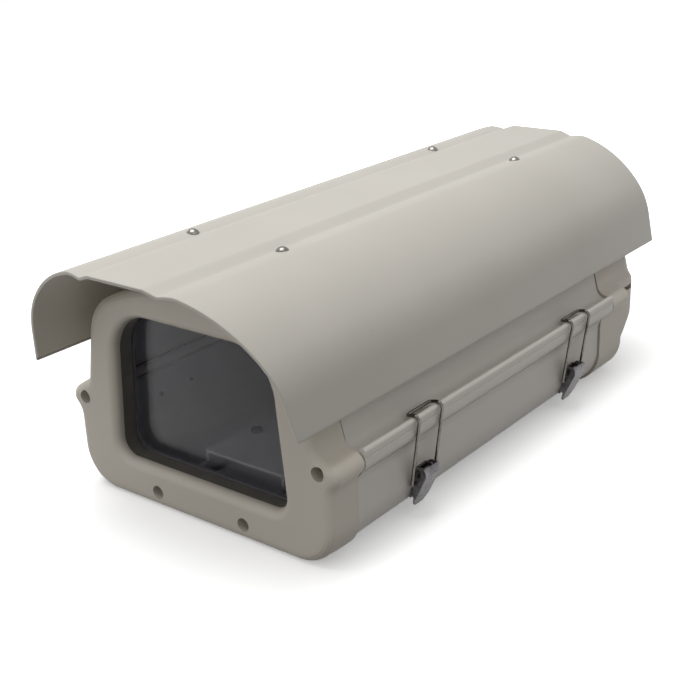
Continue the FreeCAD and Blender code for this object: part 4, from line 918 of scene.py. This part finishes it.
@dataclass
class Sunshield(Assembly):
    """Formed sheet over the lid, with its spacers and domed screws.

    The sheet's outer line starts level at the middle, steps down, rises over a small ridge and bows
    down to the wing's tip. All lengths are in millimetres, all turns in degrees.

    Attributes:
        thick: Thickness of the sheet.
        band: Half width of the flat band.
        rim: Radius of the sheet's rounded edges.
        rakes: How far the wings' tips stand back at the front and at the rear.
        steps: Length and turn of each stretch beside the band.
        spacing: Largest distance between points of the outer line.
        tip_points: Points on the round of each tip.
        rim_points: Rings on the round of each end.
        sharp: Angle in degrees above which an edge of the sheet stays sharp.
    """

    body: str = "cover"
    thick: float = 2.0
    band: float = 20.15
    rim: float = 0.6
    rakes: tuple[float, float] = (20.9, 6.3)
    steps: tuple[tuple[float, float], ...] = (
        arc(5.3, -20.03), (7.596, 0.0), arc(2.8, 33.23), arc(38.8, -13.2), arc(12.35, -13.85),
        (53.45, -35.3), (26.74, -28.46), (19.8, 0.0))
    spacing: float = 1.6
    tip_points: int = 5
    rim_points: int = 5
    sharp: float = 40.0

    def section(self) -> tuple[Array, Array, int]:
        """Middle line of the sheet as a closed loop with a spoke from each point to the surface.

        The middle line lies half the thickness inside the outer line, its left half mirrors the
        right one, and at each tip the spokes turn half round from one face to the other. The loop
        runs along the upper face from left to right and back along the lower one.

        Returns:
            Points on the middle line, spokes to the surface, and the number of points on one face.
        """
        _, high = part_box("sunshield")
        half, heading = follow([(self.band, 0.0), *self.steps], self.spacing)
        half = half + (0.0, high[2] / MM)
        normal = np.stack([-np.sin(heading), np.cos(heading)], axis=1)
        centre = half - normal * self.thick / 2
        mirror = (-1, 1)
        centre = np.concatenate([centre[:0:-1] * mirror, centre])
        normal = np.concatenate([normal[:0:-1] * mirror, normal])
        turn = np.linspace(0, np.pi, self.tip_points + 2)[1:-1, None]
        ends = []
        for tip, out in ((centre[-1], normal[-1]), (centre[0], -normal[0])):
            along = np.array([out[1], -out[0]])
            spokes = out * np.cos(turn) + along * np.sin(turn)
            ends.append((np.repeat(tip[None], len(turn), 0), spokes))
        line = np.concatenate([centre, ends[0][0], centre[::-1], ends[1][0]])
        spokes = np.concatenate([normal, ends[0][1], -normal[::-1], ends[1][1]]) * self.thick / 2
        return line, spokes, len(centre)

    def sheet(self) -> None:
        """Sheet swept along the housing: each ring is the middle line plus a share of the spokes.

        At a distance d from an end, with r the rim's radius and h half the thickness, the share is
        1 - (r - sqrt(r^2 - (r - d)^2)) / h. The ends lean back in step with width and drop.
        """
        line, spokes, face = self.section()
        low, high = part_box("sunshield")
        front, rear, top = low[1] / MM, high[1] / MM, high[2] / MM
        half = self.thick / 2
        tip = line[face - 1]
        lean = np.maximum(np.abs(line[:, 0]) - self.band + top - line[:, 1], 0.0)
        whole = abs(tip[0]) - self.band + top - tip[1]
        depth = self.rim * (1 - np.cos(np.linspace(0, np.pi / 2, self.rim_points)))
        across = np.sqrt(np.maximum(self.rim ** 2 - (self.rim - depth) ** 2, 0.0))
        share = 1 - (self.rim - across) / half
        starts = front + self.rakes[0] * lean / whole
        stops = rear - self.rakes[1] * lean / whole
        between = (0.25, 0.5, 0.75)
        rows = [starts + d for d in depth]
        rows += [starts + (stops - starts) * part for part in between]
        rows += [stops - d for d in depth[::-1]]
        shares = np.concatenate([share, np.ones(len(between)), share[::-1]])
        flat = line[None] + spokes[None] * shares[:, None, None]
        rings = np.stack([flat[..., 0], np.array(rows), flat[..., 1]], axis=-1)
        points, faces = ring_solid(rings)
        piece = mesh_piece("sunshield_sheet", points, faces, Finish.SHEET, self.paints)
        self.pieces.append(piece.name)
        # The lower face takes the paler underside paint: painted light on the sheet's shaded
        # underside
        piece.data.materials.append(self.paints.get(Finish.SHEET_UNDER_PAINTED_LIGHT))
        column = np.arange(len(piece.data.polygons)) % len(line)
        under = (column > face + self.tip_points - 1) & (column < 2 * face + self.tip_points - 2)
        under[-2:] = False
        piece.data.polygons.foreach_set("material_index", under.astype(np.int32))
        outward(piece)
        smooth_by_angle(piece, self.sharp)
        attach(piece, self.body)
        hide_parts("sunshield")

    def build(self) -> None:
        """Builds the sheet and dresses its fixings."""
        self.sheet()
        self.keep(Finish.PLATE, "shield_spacers")
        self.keep(Finish.STEEL, "shield_screws")


@dataclass
class RearCap(Assembly):
    """Rear casting with its screws and the two cable glands.

    Attributes:
        ribs: Grip ribs round each gland's nut.
        groove: Depth of the grooves between the ribs.
        sides: Points round the nut.
        nut_back: Distance from the cable's entry back to the nut's seat.
        nut: Radius, height and share of the grooves, up the nut's outside and back down its bore.
    """

    ribs: int = 14
    groove: float = 0.8
    sides: int = 112
    nut_back: float = 9.15
    nut: tuple[tuple[float, float, float], ...] = (
        (6.6, 0.0, 0.0), (9.3, 0.0, 0.4), (9.7, 0.4, 1.0), (9.7, 7.4, 1.0), (9.45, 8.4, 0.6),
        (8.9, 9.5, 0.2), (8.0, 10.7, 0.0), (7.0, 11.6, 0.0), (6.2, 12.0, 0.0), (5.2, 12.0, 0.0),
        (5.0, 11.8, 0.0), (5.0, 10.0, 0.0), (6.6, 7.2, 0.0))

    def gland_nut(self, side: str) -> None:
        """Ribbed nut turned about the gland's axis, which the record's cable entry gives.

        Args:
            side: Which gland the nut belongs to.
        """
        entry = next(m for m in frame["record"]["mounts"] if m["name"] == "cable_entry_" + side)
        axis = np.array(entry["axis"], float)
        seat = np.array(entry["pos_m"], float) / MM - axis * self.nut_back
        rings = aimed(revolve(self.nut, self.sides, self.ribs, self.groove), seat, axis)
        piece = ringed("gland_nut_" + side, rings, Finish.PLASTIC, self.paints, self.body,
                       "gland_dome_" + side, loop=True)
        self.pieces.append(piece.name)

    def build(self) -> None:
        """Dresses the casting and the glands and builds the glands' nuts."""
        self.keep(Finish.CASTING, "rear_cap")
        self.keep(Finish.STEEL, "cap_screws")
        for side in ("right", "left"):
            self.keep(Finish.RUBBER, "gland_seal_" + side)
            self.keep(Finish.PLASTIC, "gland_locknut_" + side, "gland_body_" + side)
            self.gland_nut(side)


@dataclass
class Latch(Assembly):
    """Wire latch: bracket on the body, pressed lever and bent wire.

    Attributes:
        end: Which latch this is.
        wire: Radius of the wire.
        legs: Half the distance between the wire's legs.
        inner: Half the distance between the wire's ends.
        hook: Radius of the hooks.
        hook_turn: Angle that the hooks turn through, in degrees.
        tail: Straight run from a hook to the crossbar's bend.
        bend: Radius of the other bends.
        bracket_edge: Width of the bracket's softened edges.
        lever_edge: Width of the lever's softened edges.
    """

    end: str = "front"
    wire: float = 1.0
    legs: float = 11.75
    inner: float = 6.0
    hook: float = 3.6
    hook_turn: float = 111.0
    tail: float = 2.6
    bend: float = 2.1
    bracket_edge: float = 0.3
    lever_edge: float = 0.35

    def route(self) -> Array:
        """Centre line of the wire from one end to the other.

        The leg is tangent to the hook: with c the hook's centre, h the pivot and r the hook's
        radius, it leans by the angle of c - h less asin(r / |c - h|). The hook's corner lies
        r / cos(turn / 2) from c along the middle of its turn.

        Returns:
            Points of the centre line.
        """
        joint = next(j for j in frame["record"]["behaviour"]["joints"]
                     if j["name"] == "bail_%s_pivot" % self.end)
        pivot = np.array(joint["pos_m"], float) / MM
        _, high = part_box("latch_bail_" + self.end)
        corner = np.array([high[0] / MM, pivot[1], high[2] / MM])
        centre = corner - (self.hook + self.wire) * np.array([1, 0, 1])
        span = centre - pivot
        lean = np.arctan2(span[2], span[0]) - np.arcsin(self.hook / np.linalg.norm(span))
        turn = np.radians(self.hook_turn)
        last = lean - np.pi / 2 + turn

        def toward(angle: float) -> Array:
            """Direction in the plane across the housing."""
            return np.array([np.cos(angle), 0.0, np.sin(angle)])

        bow = centre + toward(last - turn / 2) * self.hook / np.cos(turn / 2)
        leave = toward(last + np.pi / 2)
        back = centre + toward(last) * self.hook + leave * (self.tail + self.bend)
        across = np.array([0.0, 1.0, 0.0])
        near = [pivot + across * self.inner, pivot + across * self.legs, bow + across * self.legs,
                back + across * self.legs]
        far = [p * (1, -1, 1) + 2 * pivot * across for p in near[::-1]]
        radii = [self.bend, self.hook, self.bend, self.bend, self.hook, self.bend]
        return rounded_route(np.array(near + far), radii)

    def build(self) -> None:
        """Builds the wire, dresses the pin and softens the edges of bracket and lever."""
        self.keep(Finish.WIRE, "latch_pin_" + self.end)
        self.edge(Finish.LEVER, self.bracket_edge, "latch_bracket_" + self.end)
        self.edge(Finish.LEVER, self.lever_edge, "latch_lever_" + self.end, "lever_" + self.end)
        piece = ringed("bail_wire_" + self.end, tube(self.route(), self.wire), Finish.WIRE,
                       self.paints, "bail_" + self.end, "latch_bail_" + self.end)
        self.pieces.append(piece.name)


@dataclass
class Hinge(Assembly):
    """Hinge on the left: a leaf on the body, a leaf on the lid and a pin.

    Attributes:
        end: Which hinge this is.
        leaf_edge: Width of the leaves' softened edges in millimetres.
    """

    end: str = "front"
    leaf_edge: float = 0.3

    def build(self) -> None:
        """Softens the leaves' edges and dresses the pin."""
        self.edge(Finish.HINGE, self.leaf_edge, "hinge_body_leaf_" + self.end)
        self.edge(Finish.HINGE, self.leaf_edge, "hinge_lid_leaf_" + self.end, "cover")
        self.keep(Finish.STEEL, "hinge_pin_" + self.end)


@dataclass
class CameraMount(Assembly):
    """Tray that carries the camera, with its posts and screws.

    Attributes:
        tray_edge: Width of the tray's softened edges in millimetres.
    """

    tray_edge: float = 0.4

    def build(self) -> None:
        """Softens the tray's edges and dresses the rest."""
        self.edge(Finish.PLATE, self.tray_edge, "camera_tray")
        self.keep(Finish.PLATE, "tray_posts")
        self.keep(Finish.STEEL, "tray_screws", "camera_screw")


@dataclass
class Rivets(Assembly):
    """Rivets of the latches and the hinges."""

    def build(self) -> None:
        """Dresses the rivets."""
        self.keep(Finish.STEEL, "latch_rivets", "hinge_body_rivets", "hinge_lid_rivets")


# Studio: camera, lamps, floor and backdrop
@dataclass(frozen=True)
class Lamp:
    """Square soft lamp.

    Attributes:
        name: Name of the lamp.
        place: Place in metres.
        size: Side of the square in metres.
        power: Power in watts.
    """

    name: str
    place: tuple[float, float, float]
    size: float
    power: float


@dataclass
class Studio:
    """Camera at the photograph's place, soft lamps and a pale floor.

    Attributes:
        eye: Place of the camera in metres.
        across: Direction to the right in its picture.
        upward: Direction upward in its picture.
        gaze: Direction in which it looks.
        sensor: Width of its sensor in millimetres.
        lens: Length of its lens in millimetres.
        reach: Nearest and farthest distance that it shows, in metres.
        target: Point at which the lamps are aimed.
        lamps: The lamps.
        ambient: Strength of the plain light from all around.
        floor_bounce: Brightness of the floor as the housing sees it.
        floor_reach: Radius of the floor in metres.
        floor_drop: Depth of the floor below the housing's foot in metres.
        floor_sides: Points round the floor's rim.
        floor_lift: Light that the floor adds below the housing.
        floor_fade: Distances over which the floor turns plain white, in metres.
    """

    eye: tuple[float, float, float] = (0.468378, -0.612412, 0.361695)
    across: tuple[float, float, float] = (0.79017, 0.61184, -0.03612)
    upward: tuple[float, float, float] = (-0.20109, 0.31449, 0.92771)
    gaze: tuple[float, float, float] = (-0.57897, 0.72578, -0.37153)
    sensor: float = 36.0
    lens: float = 62.477
    reach: tuple[float, float] = (0.01, 50.0)
    target: tuple[float, float, float] = (0.0, 0.0, 0.1)
    lamps: tuple[Lamp, ...] = (
        Lamp("lamp_top", (-0.25, -0.15, 1.7), 1.3, 23.0),
        Lamp("lamp_side", (1.1, -0.4, 1.5), 1.0, 1.5),
        Lamp("lamp_front", (-0.5, -1.9, 0.7), 1.0, 4.5))
    ambient: float = 0.48
    floor_bounce: float = 0.12
    floor_reach: float = 3.0
    floor_drop: float = 0.0002
    floor_sides: int = 72
    floor_lift: float = 0.3
    floor_fade: tuple[float, float] = (0.30, 1.0)

    def camera(self) -> None:
        """Creates the camera with the photograph's place, direction and tilt."""
        data = bpy.data.cameras.new("camera")
        data.sensor_width = self.sensor
        data.lens = self.lens
        data.clip_start, data.clip_end = self.reach
        camera = bpy.data.objects.new("camera", data)
        backward = tuple(-c for c in self.gaze)
        columns = Matrix((self.across, self.upward, backward)).transposed()
        camera.matrix_world = Matrix.Translation(self.eye) @ columns.to_4x4()
        bpy.context.scene.collection.objects.link(camera)
        bpy.context.scene.camera = camera

    def light(self, lamp: Lamp) -> None:
        """Hangs a lamp and aims it at the target.

        Args:
            lamp: The lamp's sizes.
        """
        data = bpy.data.lights.new(lamp.name, "AREA")
        data.shape = "SQUARE"
        data.size = lamp.size
        data.energy = lamp.power
        light = bpy.data.objects.new(lamp.name, data)
        light.visible_transmission = False
        light.location = lamp.place
        direction = Vector(self.target) - Vector(lamp.place)
        light.rotation_euler = direction.to_track_quat("-Z", "Y").to_euler()
        bpy.context.scene.collection.objects.link(light)

    def seen(self, tree: bpy.types.NodeTree) -> bpy.types.NodeSocket:
        """Tells rays that are seen from rays that only carry light.

        Args:
            tree: Node tree that gets the test.

        Returns:
            Socket that is one for rays of the camera, of reflections and through glass, else zero.
        """
        path = add_node(tree, "LightPath")
        first = add_node(tree, "Math", operation="MAXIMUM", in_0=path.outputs["Is Camera Ray"],
                         in_1=path.outputs["Is Transmission Ray"])
        both = add_node(tree, "Math", operation="MAXIMUM", in_0=first.outputs[0],
                        in_1=path.outputs["Is Glossy Ray"])
        return both.outputs[0]

    def world(self) -> None:
        """White backdrop where it is seen, plain grey light for the rest."""
        world = bpy.data.worlds.new("world")
        bpy.context.scene.world = world
        world.use_nodes = True
        tree = world.node_tree
        strength = add_node(tree, "MapRange", Value=self.seen(tree), To_Min=self.ambient,
                            To_Max=1.0)
        tree.links.new(strength.outputs[0], tree.nodes["Background"].inputs["Strength"])
        tree.nodes["Background"].inputs["Color"].default_value = (1, 1, 1, 1)

    def floor(self) -> None:
        """Pale floor that keeps the shadow near the housing and turns plain white further off."""
        angle = np.linspace(0, 2 * np.pi, self.floor_sides, endpoint=False)
        rim = np.stack([self.floor_reach * np.cos(angle), self.floor_reach * np.sin(angle),
                        np.full(angle.shape, -self.floor_drop)], axis=1)
        mesh = bpy.data.meshes.new("floor")
        mesh.from_pydata(rim.tolist(), [], [list(range(len(angle)))])
        material, shader = start_material("floor")
        tree = material.node_tree
        seen = self.seen(tree)
        tone = add_node(tree, "Mix", data_type="RGBA", in_0=seen,
                        in_6=(self.floor_bounce,) * 3 + (1,), in_7=(1, 1, 1, 1))
        place = add_node(tree, "TexCoord").outputs["Object"]
        distance = add_node(tree, "VectorMath", operation="LENGTH", in_0=place)
        near, plain = self.floor_fade
        far = add_node(tree, "MapRange", Value=distance.outputs["Value"], From_Min=near,
                       From_Max=plain, To_Min=self.floor_lift, interpolation_type="SMOOTHSTEP")
        glow = add_node(tree, "Math", operation="MULTIPLY", in_0=far.outputs[0], in_1=seen)
        tree.links.new(tone.outputs[2], shader.inputs["Base Color"])
        tree.links.new(glow.outputs[0], shader.inputs["Emission Strength"])
        shader.inputs["Emission Color"].default_value = (1, 1, 1, 1)
        shader.inputs["Roughness"].default_value = 1.0
        shader.inputs["Specular IOR Level"].default_value = 0.0
        mesh.materials.append(material)
        floor = bpy.data.objects.new("floor", mesh)
        bpy.context.scene.collection.objects.link(floor)

    def build(self) -> None:
        """Sets the view, the camera, the backdrop, the floor and the lamps."""
        bpy.context.scene.view_settings.view_transform = "Standard"
        self.camera()
        self.world()
        self.floor()
        for lamp in self.lamps:
            self.light(lamp)


def main() -> None:
    """Builds the stage and the sub-assemblies in order."""
    logging.basicConfig(level=logging.INFO, format="%(message)s")
    Studio().build()
    paints = Paints()
    assemblies: list[Assembly] = [
        FrontCasting(paints), LowerBody(paints), Lid(paints), Sunshield(paints), RearCap(paints),
        Latch(paints, end="front"), Latch(paints, end="rear"), Hinge(paints, end="front"),
        Hinge(paints, end="rear"), CameraMount(paints), Rivets(paints)]
    for assembly in assemblies:
        assembly.build()
        for name in assembly.pieces:
            LOG.info("%s: %s", type(assembly).__name__, name)


if __name__ == "__main__":
    main()
